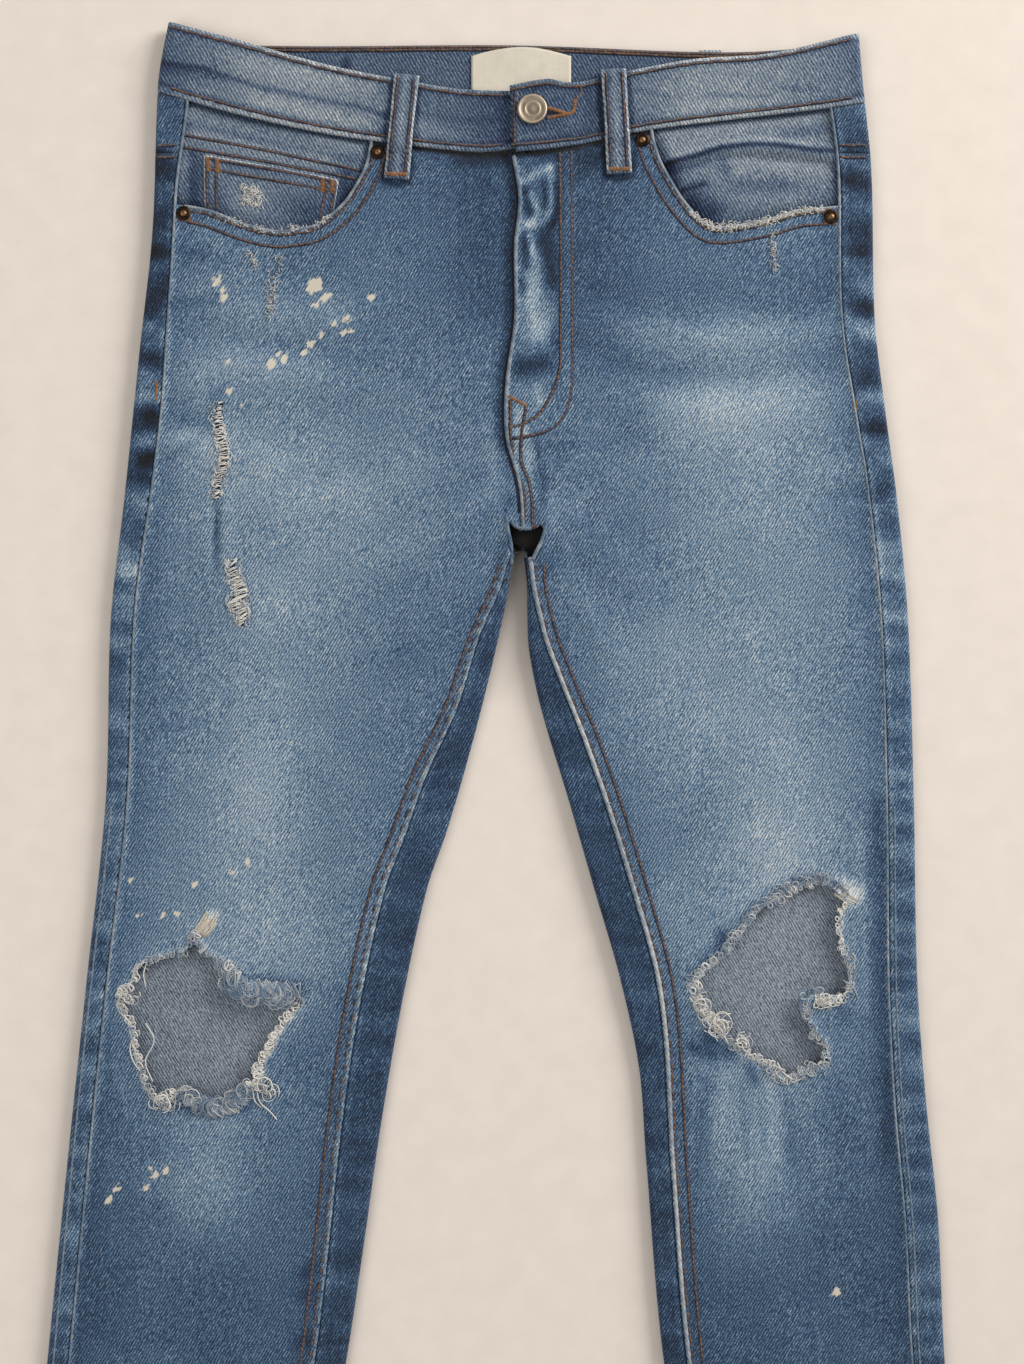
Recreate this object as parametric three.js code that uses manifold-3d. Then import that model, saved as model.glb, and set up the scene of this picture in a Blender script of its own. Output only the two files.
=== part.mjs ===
// A pair of ripped skinny jeans, laid flat on their back with the front facing up.
// Millimetres: +Y runs from the hems to the waist, +Z up from the surface they lie on.
// "Right" and "left" are the wearer's, so the right leg is on the -X side.
// Each half is one flattened tube. Its section at a level y is a rounded slot: a flat top, a flat
// underside and a half circle at each fold. The panels are stretches of that slot, given a wall.
import * as THREE from "three";
import { mergeVertices } from "three/addons/utils/BufferGeometryUtils.js";
import Module from "manifold-3d";

const wasm = await Module();
wasm.setup();

// ---- driving dimensions
const cloth = 1.2; // one layer of denim
const bandCloth = 2.4; // waistband, denim on denim
const thinCloth = 1; // pocket facings and coin pocket
const loopCloth = 1.2; // belt loop, pressed flat
const gap = 0.3; // clearance between neighbouring pieces
const roundSegments = 12; // sides of a rivet and of its hole
const waistGap = 0.45; // and along the waist seam, whose two sides have their own facets
const floorGap = cloth + gap; // the seat rides on its patch pockets
const hipTop = 6.6; // middle of the upper cloth over the hips
const legTop = 5.4; // middle of the upper cloth along the legs
const bandTop = 7; // middle of the waistband's upper run
const bandLow = loopCloth + gap + bandCloth / 2; // and of its lower run, which lies on the loops
const crotchY = -284;
const seatX = 4.5; // the seat seam's line
const hemY = -1032;
const hemTilt = 8; // the hems are square to legs that splay outwards
const hemDepth = 13;
const hemFold = 1; // extra wall where the hem is turned in
const flapLift = cloth + gap; // the fly's flap lies on the right front
const flapWidth = 24;
const flapSlope = 14; // over which the left front comes down from the flap
const bandLift = bandCloth + gap + 0.1; // the waistband's end lies on its underlap
const underlap = 8; // how far the right front runs on below the flap
const bandUnderlap = 29;
const button = {
  x: 10,
  y: -38,
  capR: 8.75,
  postR: 1.6,
  rim: 1.4, // how far in from the cap's edge its rim is level
  dishEdge: 3, // and where the dish has its full depth
  nubR: 2.2,
  thick: 1.7,
  dish: 0.3, // depth of the dish
};
const rivetSize = {
  capR: 4.2,
  nubR: 1.5,
  postR: 0.9,
  burrR: 3,
  burrThick: 0.8,
  skirt: 0.5, // height of the cap's flat edge
  collar: 0.7, // height where the nub starts
  nub: 1.6, // height of the nub
};
const rivets = {
  rivet_right_inner: [-79.5, -61.5],
  rivet_right_outer: [-192, -97],
  rivet_left_inner: [73.7, -54.5],
  rivet_left_outer: [183, -99],
};

// ---- smooth functions of one value
const lerp = (a, b, t) => a + (b - a) * t;
const clamp01 = (t) => Math.min(1, Math.max(0, t));

// 0 at from, 1 at to, level at both ends.
function ramp(value, from, to) {
  const t = clamp01((value - from) / (to - from));
  return t * t * (3 - 2 * t);
}

// The smooth function through points [at, value], level past its ends.
function through(points) {
  const knots = [...points].sort((a, b) => a[0] - b[0]);
  const slopes = knots.map((_, i) => {
    const a = knots[Math.max(i - 1, 0)];
    const b = knots[Math.min(i + 1, knots.length - 1)];
    return (b[1] - a[1]) / (b[0] - a[0]);
  });
  return (at) => {
    const x = Math.min(knots.at(-1)[0], Math.max(knots[0][0], at));
    const i = Math.max(1, knots.findIndex((k) => k[0] >= x));
    const [x0, y0] = knots[i - 1];
    const [x1, y1] = knots[i];
    const span = x1 - x0;
    const t = (x - x0) / span;
    const hermite = (a, b, c, d) => a * y0 + b * y1 + c * span * slopes[i - 1] + d * span * slopes[i];
    return hermite(
      2 * t ** 3 - 3 * t ** 2 + 1,
      3 * t ** 2 - 2 * t ** 3,
      t ** 3 - 2 * t ** 2 + t,
      t ** 3 - t ** 2,
    );
  };
}

// ---- the garment's outline. "out" is the distance from the centre line, positive on both sides.
// outer and inner are the folds' edges, outStrip and inStrip the width of back panel that shows on top.
const right = {
  sign: -1,
  outer: through([
    [15, 201], [-20, 207], [-106, 210.5], [-176, 218], [-263, 227], [-332, 235],
    [-437, 238], [-541, 249], [-645, 260], [-764, 272], [-900, 285], [hemY, 291],
  ]),
  inner: through([
    [crotchY, -seatX], [-297, 1], [-315, 3.5], [-350, 11], [-402, 24], [-454, 39], [-489, 51],
    [-558, 66], [-628, 78], [-698, 88], [-764, 98], [-900, 123], [hemY, 152],
  ]),
  outStrip: through([[0, 18], [-36, 17], [-90, 12], [-209, 16], [-300, 14], [-600, 12], [hemY, 15]]),
  inStrip: through([
    [crotchY, 0], [-310, 4], [-342, 11], [-384, 14], [-429, 22], [-556, 24], [-764, 18], [hemY, 16],
  ]),
};
const left = {
  sign: 1,
  outer: through([
    [8, 199.5], [-20, 202], [-71, 207], [-158, 209], [-210, 215], [-263, 222], [-332, 228.5],
    [-437, 232], [-541, 234], [-611, 239], [-680, 246], [-764, 250], [-900, 262], [hemY, 268],
  ]),
  inner: through([
    [crotchY, seatX], [-297, 6.5], [-330, 7], [-350, 8], [-384, 15], [-437, 31], [-489, 46],
    [-541, 61], [-593, 72], [-645, 76], [-764, 86.5], [-900, 110], [hemY, 131],
  ]),
  outStrip: through([[0, 22], [-60, 19], [-155, 19], [-260, 16], [-493, 16], [-676, 19], [hemY, 16]]),
  inStrip: through([
    [crotchY, 0], [-310, 2], [-333, 6.6], [-366, 14], [-405, 19], [-529, 21], [-613, 14], [hemY, 14],
  ]),
};

// The free edge of the fly and, below it, the crotch seam: x at each level.
const flyEdge = through([
  [-60, -2], [-88, 2.5], [-115, 0], [-158, 0], [-195, -5], [-226, -5], [-255, 2.5], [crotchY, seatX],
]);

// The waistband's upper and lower edges along x, in front and at the back.
const bandEdges = {
  front: {
    [-1]: {
      upper: through([
        [-201, 14.5], [-165, 5], [-130, -5], [-100, -12.5], [-62, -20], [-30, -25], [30, -26.5],
      ]),
      lower: through([
        [-207, -26.4], [-161, -39.4], [-107, -51], [-62, -57.4], [-22, -61.4], [-6, -60.4], [12, -57],
        [30, -56.5],
      ]),
    },
    1: {
      upper: through([
        [-4, -24], [18, -20], [31, -22], [50, -18], [64, -14.5], [104, -7.5], [150, -3.8], [199.5, 7.8],
      ]),
      lower: through([
        [-4, -62.4], [26, -59.4], [51, -54], [80, -48.2], [119, -43.2], [174, -37], [203.6, -32.5],
      ]),
    },
  },
  back: {
    upper: through([[-201, 14.5], [-180, 7], [-150, 2], [0, 2], [120, -2], [170, 1], [199.5, 7.8]]),
    lower: through([[-207, -26.4], [-180, -30.5], [-140, -34.5], [0, -38], [120, -38], [203.6, -32.5]]),
  },
};
// The yoke seam falls from the sides to the centre back.
const yokeSeam = (out, onTop) => (onTop ? -62 : lerp(-104, -62, clamp01(out / 205)));

// ---- levels
const upperMid = (y) => lerp(legTop, hipTop, ramp(y, -400, -240));
const lowerMid = (y) => cloth / 2 + floorGap * ramp(y, -330, -262);
const hemExtra = (y, hem) => (y < hem + hemDepth ? hemFold : 0);

// The slot's folds at a level: the radius of the middle of the cloth, and its height.
function slot(y) {
  const top = upperMid(y);
  const low = lowerMid(y);
  return { top, low, radius: (top - low) / 2, mid: (top + low) / 2 };
}

// A point of the slot near a fold whose edge is at out, going in the direction `inwards` (+1 for the
// inner fold, -1 for the outer one). travel is 0 at the fold's edge, positive over the top.
function foldPoint({ top, low, radius, mid }, out, inwards, travel) {
  const quarter = (Math.PI * radius) / 2;
  if (Math.abs(travel) <= quarter) {
    const angle = travel / radius;
    return {
      out: out + inwards * radius * (1 - Math.cos(angle)),
      z: mid + radius * Math.sin(angle),
      normal: [-inwards * Math.cos(angle), Math.sin(angle)],
    };
  }
  const onTop = travel > 0;
  return {
    out: out + inwards * (radius + Math.abs(travel) - quarter),
    z: onTop ? top : low,
    normal: [0, onTop ? 1 : -1],
  };
}

// How far to travel from a fold's edge, over the top, to a seam that lies `strip` in from it.
function travelTo(strip, radius) {
  if (strip >= radius) return (Math.PI * radius) / 2 + strip - radius;
  return radius * Math.acos(1 - strip / radius);
}

// The inner edge of a panel at a level. Above the crotch it is the seam line `seam`, and the cloth
// there turns down (front) or up (back) by a quarter as it nears the crotch. Below, it is the inseam.
function innerEdge(side, y, shape, seam, layer) {
  if (y < crotchY) {
    const travel = travelTo(side.inStrip(y), shape.radius);
    return { out: side.inner(y) + (cloth + gap) / 2, travel: travel + layer * gap };
  }
  const angle = (Math.PI / 2) * ramp(y, crotchY, crotchY + 22);
  const travel = Math.max(shape.radius * angle, gap / 2);
  const turned = Math.cos(angle);
  return {
    out: seam + gap / 2 + (cloth / 2) * turned - shape.radius * (1 - turned),
    travel: layer * travel,
  };
}

const spread = (from, to, count) => Array.from({ length: count + 1 }, (_, i) => lerp(from, to, i / count));

// ---- the sections of the two panels of a half: lists of points from the outseam to the inner edge.
const nearEdge = 10; // the stretch before the inner fold that moves with it

function frontSection(side, y, seam) {
  const shape = slot(y);
  const outer = side.outer(y) - cloth / 2;
  const from = outer - side.outStrip(y) - gap / 2;
  const edge = innerEdge(side, y, shape, seam, 1);
  const turnStart = Math.max((Math.PI * shape.radius) / 2, edge.travel) + nearEdge;
  const flatEnd = foldPoint(shape, edge.out, 1, turnStart).out;
  const flat = spread(from, flatEnd, 13).map((out) => ({ out, z: shape.top, normal: [0, 1] }));
  const turn = spread(turnStart, edge.travel, 3).slice(1);
  return [...flat, ...turn.map((travel) => foldPoint(shape, edge.out, 1, travel))];
}

// The back panel's stops round the inner fold, up to its end. Evenly spaced while the panel ends on the
// fold, at the crotch; along the legs they round the fold first and then cross the strip on top.
function innerTurn(quarter, end) {
  const even = spread(-quarter - nearEdge, end, 8);
  const half = quarter / 2;
  const folded = [even[0], -quarter - half, -quarter, -half, 0, half, quarter, (quarter + end) / 2, end];
  const share = ramp(end - quarter, 3, 8);
  return even.map((travel, i) => lerp(travel, folded[i], share)).slice(1);
}

function backSection(side, y, flatParts = 3) {
  const shape = slot(y);
  const outer = side.outer(y) - cloth / 2;
  const quarter = (Math.PI * shape.radius) / 2;
  const start = travelTo(side.outStrip(y), shape.radius) - gap / 2;
  const edge = innerEdge(side, y, shape, side.sign * seatX, -1);
  const strip = spread(start, quarter, 1).slice(0, 1);
  const fold = spread(quarter, -quarter, 5);
  const flat = spread(outer - shape.radius, edge.out + shape.radius + nearEdge, flatParts).slice(1);
  const turn = innerTurn(quarter, edge.travel);
  return [
    ...[...strip, ...fold].map((travel) => foldPoint(shape, outer, -1, travel)),
    ...flat.map((out) => ({ out, z: shape.low, normal: [0, -1] })),
    ...turn.map((travel) => foldPoint(shape, edge.out, 1, travel)),
  ];
}

// ---- walls
// A closed wall on a grid of points {x, y, z, normal: [nx, nz], inward, outward}: rows by columns.
function wall(grid) {
  const rows = grid.length;
  const columns = grid[0].length;
  const flat = grid.flat();
  const position = [];
  for (const [face, key] of [[1, "outward"], [-1, "inward"]]) {
    for (const p of flat) {
      position.push(p.x + face * p[key] * p.normal[0], p.y, p.z + face * p[key] * p.normal[1]);
    }
  }
  const index = [];
  const quad = (a, b, c, d) => index.push(a, b, c, a, c, d);
  const outer = (r, c) => r * columns + c;
  const inner = (r, c) => rows * columns + outer(r, c);
  for (let r = 0; r < rows - 1; r++) {
    for (let c = 0; c < columns - 1; c++) {
      quad(outer(r, c), outer(r, c + 1), outer(r + 1, c + 1), outer(r + 1, c));
      quad(inner(r, c), inner(r + 1, c), inner(r + 1, c + 1), inner(r, c + 1));
    }
    quad(outer(r, 0), outer(r + 1, 0), inner(r + 1, 0), inner(r, 0));
    quad(outer(r, columns - 1), inner(r, columns - 1), inner(r + 1, columns - 1), outer(r + 1, columns - 1));
  }
  for (let c = 0; c < columns - 1; c++) {
    quad(outer(0, c), inner(0, c), inner(0, c + 1), outer(0, c + 1));
    quad(outer(rows - 1, c), outer(rows - 1, c + 1), inner(rows - 1, c + 1), inner(rows - 1, c));
  }
  return facingOut(position, index);
}

// The geometry of a closed surface, its faces turned outwards.
function facingOut(position, index) {
  const corner = (i) => new THREE.Vector3().fromArray(position, 3 * i);
  let volume = 0;
  for (let i = 0; i < index.length; i += 3) {
    volume += corner(index[i]).dot(corner(index[i + 1]).cross(corner(index[i + 2])));
  }
  const turned = volume < 0 ? [...index].reverse() : index;
  return new THREE.BufferGeometry()
    .setAttribute("position", new THREE.Float32BufferAttribute(position, 3))
    .setIndex(turned);
}

// A panel between a top edge and a bottom edge. The levels are nominal: near each edge they lean over
// to follow it. topEdge and bottomEdge give a level from (out, onTop).
function panel(side, section, levels, topEdge, bottomEdge, options = {}) {
  const { lift = () => 0, topReach = 60, bottomReach = 200, hem = false } = options;
  const first = levels[0];
  const last = levels.at(-1);
  return levels.map((level) => {
    const topPull = ramp(level, first - topReach, first);
    const bottomPull = 1 - ramp(level, last, last + bottomReach);
    return section(level).map((p, column) => {
      const onTop = p.z > slot(level).mid;
      const leaning = ({ out }) =>
        level + topPull * (topEdge(out, onTop) - first) + bottomPull * (bottomEdge(out, onTop) - last);
      const y = leaning(section(leaning(p))[column]);
      const at = section(y)[column];
      const x = side.sign * at.out;
      return {
        x,
        y,
        z: at.z + lift(x, y),
        normal: [side.sign * at.normal[0], at.normal[1]],
        outward: cloth / 2,
        inward: cloth / 2 + (hem ? hemExtra(y, bottomEdge(at.out, onTop)) : 0),
      };
    });
  });
}

// ---- solids, for the cuts
function solidOf(geometry) {
  const bare = new THREE.BufferGeometry().setAttribute("position", geometry.getAttribute("position").clone());
  bare.setIndex(geometry.index ? geometry.index.clone() : null);
  const merged = mergeVertices(bare, 1e-4);
  return new wasm.Manifold(
    new wasm.Mesh({
      numProp: 3,
      vertProperties: merged.getAttribute("position").array,
      triVerts: new Uint32Array(merged.index.array),
    }),
  );
}

function geometryOf(solid) {
  const mesh = solid.getMesh();
  return new THREE.BufferGeometry()
    .setAttribute("position", new THREE.BufferAttribute(mesh.vertProperties, 3))
    .setIndex(new THREE.BufferAttribute(mesh.triVerts, 1));
}

const cut = (geometry, ...tools) =>
  geometryOf(tools.reduce((rest, tool) => rest.subtract(solidOf(tool)), solidOf(geometry)));

// A plate of an outline, from one height to another.
function plate(shape, low, high, curveSegments = 4) {
  const options = { depth: high - low, bevelEnabled: false, curveSegments };
  return new THREE.ExtrudeGeometry(shape, options).translate(0, 0, low);
}

const outlineOf = (points) => new THREE.Shape(points.map(([x, y]) => new THREE.Vector2(x, y)));

// A closed smooth outline through points.
function smoothOutline(points) {
  const corners = points.map(([x, y]) => new THREE.Vector3(x, y, 0));
  const curve = new THREE.CatmullRomCurve3(corners, true, "centripetal");
  return new THREE.Shape(curve.getPoints(2 * points.length).slice(0, -1));
}

const disc = (x, y, radius) => new THREE.Shape().absarc(x, y, radius, 0, 2 * Math.PI);

// A solid turned about Z at (x, y), from a profile of [radius, z] that starts and ends on the axis.
function turned(profile, segments, x, y) {
  const points = profile.map(([r, z]) => new THREE.Vector2(r, z));
  return new THREE.LatheGeometry(points, segments).rotateX(Math.PI / 2).translate(x, y, 0);
}

// ---- the cut of each front: the pocket's scoop, the rip over the knee and the rivets' holes
const scoops = {
  right: [
    [-84, -40], [-85, -56], [-85.5, -69], [-90, -80], [-99, -94], [-111, -102.5], [-130, -105.5],
    [-153, -103], [-172, -97.5], [-191, -92.5], [-216, -90], [-216, -5], [-150, -20],
  ],
  left: [
    [78, -36], [79, -49], [82, -61], [88.5, -74], [97, -86], [104, -97], [115, -106], [127, -106.5],
    [150, -102], [166, -97.5], [181, -94], [212, -92], [212, -5], [150, -20],
  ],
};
const kneeRips = {
  right: [
    [-186, -512], [-180, -523], [-166, -531], [-167, -545], [-152, -553], [-127, -554], [-137, -570],
    [-142, -583], [-148, -603], [-164, -609], [-180, -612], [-195, -606], [-210, -611], [-218, -592],
    [-221, -572], [-229, -556], [-227, -543], [-215, -531], [-197, -526], [-189, -520],
  ],
  left: [
    [133, -510], [142, -500], [157, -489], [172, -485], [187, -490], [191, -498], [188, -512],
    [190, -525], [194, -539], [190, -549], [171, -549], [171, -560], [176, -574], [181, -589],
    [165, -594], [152, -591], [140, -580], [128, -573], [112, -563], [103, -549], [110, -537], [123, -523],
  ],
};
const frontCut = { low: 3, high: 12 }; // the cutting prisms reach through the upper layer only

function frontTools(name) {
  const tools = [plate(outlineOf(scoops[name]), frontCut.low, frontCut.high)];
  tools.push(plate(smoothOutline(kneeRips[name]), frontCut.low, frontCut.high));
  for (const [rivet, [x, y]] of Object.entries(rivets)) {
    const hole = disc(x, y, rivetSize.postR + gap);
    if (rivet.includes(name)) tools.push(plate(hole, frontCut.low, frontCut.high, roundSegments));
  }
  return tools;
}

// ---- panels
const trunkLevels = [-120, -170, -210, -236, -254, -266, -275, crotchY + 0.5, crotchY - 0.5];
const legLevels = [-292, -302, -316, -336, -364, -400, -440, -490, -550, -610, -680, -764, -860, -950];
const hemLevels = [hemY + hemDepth + 0.5, hemY + hemDepth - 0.5, hemY];
const bottomOf = (side) => (out) => {
  const across = (out - side.inner(hemY)) / (side.outer(hemY) - side.inner(hemY));
  return hemY + hemTilt * (2 * across - 1);
};

// The fly's flap: the left front lies on the right one, from the waist to the foot of the fly.
function overFlap(x, y) {
  const stitched = flyEdge(y) + flapWidth;
  return flapLift * (1 - ramp(x, stitched, stitched + flapSlope)) * ramp(y, -262, -232);
}
// The right front runs on below the flap, and draws back to meet it edge to edge at its foot.
const rightSeam = (y) => flyEdge(y) + underlap * ramp(y, -228, -205);

function front(name, side) {
  const seam = name === "left" ? flyEdge : (y) => -rightSeam(y);
  const section = (y) => frontSection(side, y, seam(y));
  const band = bandEdges.front[side.sign].lower;
  const topEdge = (out) => band(side.sign * out) - waistGap;
  const levels = [-62, -85, ...trunkLevels, ...legLevels, ...hemLevels];
  const options = { lift: name === "left" ? overFlap : undefined, hem: true };
  const grid = panel(side, section, levels, topEdge, bottomOf(side), options);
  return cut(wall(grid), ...frontTools(name));
}

const sideBand = (side) => bandEdges.front[side.sign].lower;
const yokeLevels = [-32, -42, -52, -62];
const yokeFlats = 10; // facets across its flat underside
const backBand = (side, out, onTop) =>
  (onTop ? sideBand(side)(side.sign * out) : bandEdges.back.lower(side.sign * out)) - waistGap;

function back(side) {
  const levels = [-62, -80, -95, ...trunkLevels, ...legLevels, ...hemLevels];
  const topEdge = (out, onTop) => yokeSeam(out, onTop) - gap / 2;
  const options = { topReach: 140, hem: true };
  return wall(panel(side, (y) => backSection(side, y), levels, topEdge, bottomOf(side), options));
}

function yoke(side) {
  const topEdge = (out, onTop) => backBand(side, out, onTop);
  const bottomEdge = (out, onTop) => yokeSeam(out, onTop) + gap / 2;
  const reach = { topReach: 30, bottomReach: 30 };
  return wall(panel(side, (y) => backSection(side, y, yokeFlats), yokeLevels, topEdge, bottomEdge, reach));
}

// ---- waistband: one strip, from its underlap round the back to its overlapping end
function waistband() {
  const shape = { top: bandTop, low: bandLow, radius: (bandTop - bandLow) / 2, mid: (bandTop + bandLow) / 2 };
  const quarter = (Math.PI * shape.radius) / 2;
  const columns = [];
  const stop = (side, layer, at) => columns.push({ side, layer, at });
  const edgeOf = (side) => (y) => side.outer(y) - bandCloth / 2;
  const onFlat = (side, end, share, layer) =>
    stop(side, layer, (y) => ({
      out: lerp(end, edgeOf(side)(y) - shape.radius, share),
      z: layer === "front" ? shape.top : shape.low,
      normal: [0, layer === "front" ? 1 : -1],
    }));
  const onFold = (side, travel) =>
    stop(side, travel > 0 ? "front" : "back", (y) => foldPoint(shape, edgeOf(side)(y), -1, travel));
  spread(0, 1, 16).forEach((share) => onFlat(right, -bandUnderlap, share, "front"));
  spread(quarter, -quarter, 4).slice(1).forEach((travel) => onFold(right, travel));
  spread(1, 0, 9).slice(1).forEach((share) => onFlat(right, 0, share, "back"));
  spread(0, 1, 9).slice(1).forEach((share) => onFlat(left, 0, share, "back"));
  spread(-quarter, quarter, 4).slice(1).forEach((travel) => onFold(left, travel));
  const bandEnd = -3.5;
  spread(1, 0, 18).slice(1).forEach((share) => onFlat(left, bandEnd, share, "front"));
  const lift = (x, layer, side) =>
    side === left && layer === "front" ? bandLift * (1 - ramp(x, bandUnderlap + 1, bandUnderlap + 13)) : 0;
  return spread(0, 1, 3).map((down) =>
    columns.map(({ side, layer, at }) => {
      const x0 = side.sign * at(-20).out;
      const edges = layer === "back" ? bandEdges.back : bandEdges.front[side.sign];
      const y = lerp(edges.upper(x0), edges.lower(x0), down);
      const p = at(y);
      const x = side.sign * p.out;
      return {
        x,
        y,
        z: p.z + lift(x, layer, side),
        normal: [side.sign * p.normal[0], p.normal[1]],
        outward: bandCloth / 2,
        inward: bandCloth / 2,
      };
    }),
  );
}

// The buttonhole is a keyhole: an eye round the button's post and a slit towards the side.
const buttonhole = { eyeR: 2.1, slit: 1.2, end: 34 }; // slit is half its width, end where it stops
const holeReach = 4; // how far its cutting prisms reach above and below
function keyhole() {
  const { eyeR, slit, end } = buttonhole;
  const open = Math.asin(slit / eyeR);
  const shape = new THREE.Shape();
  shape.absarc(button.x, button.y, eyeR, open, 2 * Math.PI - open);
  shape.lineTo(end, button.y - slit);
  shape.lineTo(end, button.y + slit);
  return shape;
}

function buttonedWaistband() {
  const between = bandTop + bandCloth / 2 + gap / 2; // a height between the underlap and the end on it
  return cut(
    wall(waistband()),
    plate(keyhole(), between, between + holeReach, roundSegments),
    plate(disc(button.x, button.y, button.postR + gap), between - holeReach, between, roundSegments),
  );
}

// ---- pieces on the front
const facingLow = 3.1;
const coinLow = facingLow + thinCloth + gap;

const facings = {
  right: [
    [-203, -30], [-190, -32], [-161, -40.5], [-107, -52.5], [-66, -58.5], [-68, -92], [-84, -114],
    [-120, -127], [-165, -124], [-203, -114],
  ],
  left: [
    [197, -35], [174, -38.5], [119, -45], [80, -48], [66, -51.5], [68, -84], [84, -114], [120, -127],
    [160, -122], [197, -112],
  ],
};
const coinPocket = [[-180.5, -63], [-102, -78], [-110, -121], [-178, -114]];

// A belt loop from the waistband's upper edge to below it, over the step down on to the panel.
function frontLoop({ top, bottom, step, width }) {
  const onBand = bandTop + bandCloth / 2 + gap + loopCloth / 2;
  const onPanel = hipTop + cloth / 2 + gap + loopCloth / 2;
  const along = new THREE.Vector2(bottom[0] - top[0], bottom[1] - top[1]);
  const across = new THREE.Vector2(-along.y, along.x).normalize();
  const share = (y) => (y - top[1]) / (bottom[1] - top[1]);
  const stops = [0, 0.3, 0.6, share(step - 1), share(step - 5), 1];
  return wall(
    stops.map((t) =>
      spread(-width / 2, width / 2, 2).map((offset) => ({
        x: top[0] + along.x * t + across.x * offset,
        y: top[1] + along.y * t + across.y * offset,
        z: t > share(step - 3) ? onPanel : onBand,
        normal: [0, 1],
        outward: loopCloth / 2,
        inward: loopCloth / 2,
      })),
    ),
  );
}
const frontLoops = {
  belt_loop_front_right: { top: [-62.6, -19.5], bottom: [-68.5, -77], step: -59, width: 13.5 },
  belt_loop_front_left: { top: [57, -16.5], bottom: [60.5, -74], step: -54, width: 13.5 },
};

// ---- pieces on the back, flat on the surface below
const backLoops = { belt_loop_back_right: -112, belt_loop_back_centre: 2, belt_loop_back_left: 114 };
const backLoopSize = { half: 6.5, bottom: -52 };
function backLoop(x) {
  const { half, bottom } = backLoopSize;
  return outlineOf([[x - half, 0], [x - half, bottom], [x + half, bottom], [x + half, 0]]);
}

// A patch pocket with straight sides that close in and a shallow point.
const patchPocket = { apart: 104, shift: 3, top: -112, corner: -232, point: -250, wide: 70, narrow: 58 };
function backPocket(sign) {
  const { apart, shift, top, corner, point, wide, narrow } = patchPocket;
  const centre = sign * apart + shift;
  return outlineOf([
    [centre - wide, top], [centre - narrow, corner], [centre, point], [centre + narrow, corner],
    [centre + wide, top],
  ]);
}

// ---- closure: button, rivets, zip and label
function waistButton() {
  const seat = bandTop + bandLift + bandCloth / 2 + gap; // just above the overlapping end
  const foot = bandTop - bandCloth / 2 + gap; // inside the underlap
  const crown = seat + button.thick;
  const floor = crown - button.dish;
  const { x, y, capR, postR, rim, dishEdge, nubR } = button;
  const profile = [
    [0, foot], [postR, foot], [postR, seat], [capR - 0.4, seat], [capR, seat + 0.5], [capR, crown - 0.7],
    [capR - 0.6, crown - 0.1], [capR - rim, crown], [capR - dishEdge, floor], [nubR, floor],
    [nubR - 0.4, crown], [0, crown],
  ];
  return turned(profile, 20, x, y);
}

function rivet(x, y) {
  const seat = hipTop + cloth / 2 + gap;
  const under = hipTop - cloth / 2 - gap;
  const { capR, nubR, postR, burrR, burrThick, skirt, collar, nub } = rivetSize;
  const profile = [
    [0, under - burrThick], [burrR, under - burrThick], [burrR, under], [postR, under], [postR, seat],
    [capR, seat], [capR - 0.4, seat + skirt], [nubR + 0.4, seat + collar], [nubR, seat + nub - 0.3],
    [0, seat + nub],
  ];
  return turned(profile, roundSegments, x, y);
}

// The closed zip behind the fly: its tape, its chain and its slider in one.
const zip = {
  middle: 12,
  top: -68,
  bottom: -216,
  tape: { half: 14, low: facingLow, high: 3.9 },
  chain: { half: 2.5, low: 3.5, high: 4.8, fromTop: 8, fromBottom: 4 },
  slider: { half: 4, high: 5.4, length: 12 },
};

function flyZip() {
  const { middle, top, bottom, tape, chain, slider } = zip;
  const bar = (half, y0, y1, low, high) => {
    const corners = [[middle - half, y0], [middle + half, y0], [middle + half, y1], [middle - half, y1]];
    return solidOf(plate(outlineOf(corners), low, high));
  };
  const chainTop = top - chain.fromTop;
  return geometryOf(
    bar(tape.half, bottom, top, tape.low, tape.high)
      .add(bar(chain.half, bottom + chain.fromBottom, chainTop, chain.low, chain.high))
      .add(bar(slider.half, chainTop - slider.length, chainTop, chain.low, slider.high)),
  );
}

// A folded tape, sewn under the back of the waistband, its upper edge arched.
const tapeLabel = { left: -25.5, right: 32.5, bottom: -44, shoulder: -8, crown: 6, thick: 0.6 };

function label() {
  const low = bandLow + bandCloth / 2 + gap;
  const { left: from, right: to, bottom, shoulder, crown, thick } = tapeLabel;
  const shape = new THREE.Shape();
  shape.moveTo(from, bottom);
  shape.lineTo(to, bottom);
  shape.lineTo(to - 1, shoulder);
  shape.quadraticCurveTo(crown, crown, from + 0.5, shoulder + 2);
  return plate(shape, low, low + thick, 6);
}

// ---- the whole garment
const finish = (name, color, roughness, metalness) =>
  new THREE.MeshStandardMaterial({ name, color, roughness, metalness });
const denim = finish("denim", 0x5f82ad, 0.9, 0);
const worn = finish("worn denim", 0x86a3c4, 0.9, 0);
const dark = finish("dark denim", 0x3f6393, 0.9, 0);
const cotton = finish("label cotton", 0xe6ddc8, 0.95, 0);
const brass = finish("antique brass", 0x6b5436, 0.45, 1);
const nickel = finish("nickel", 0xc9bba6, 0.35, 1);

const garment = new THREE.Group();
function add(name, geometry, material) {
  const mesh = new THREE.Mesh(geometry, material);
  mesh.name = name;
  garment.add(mesh);
}

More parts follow.
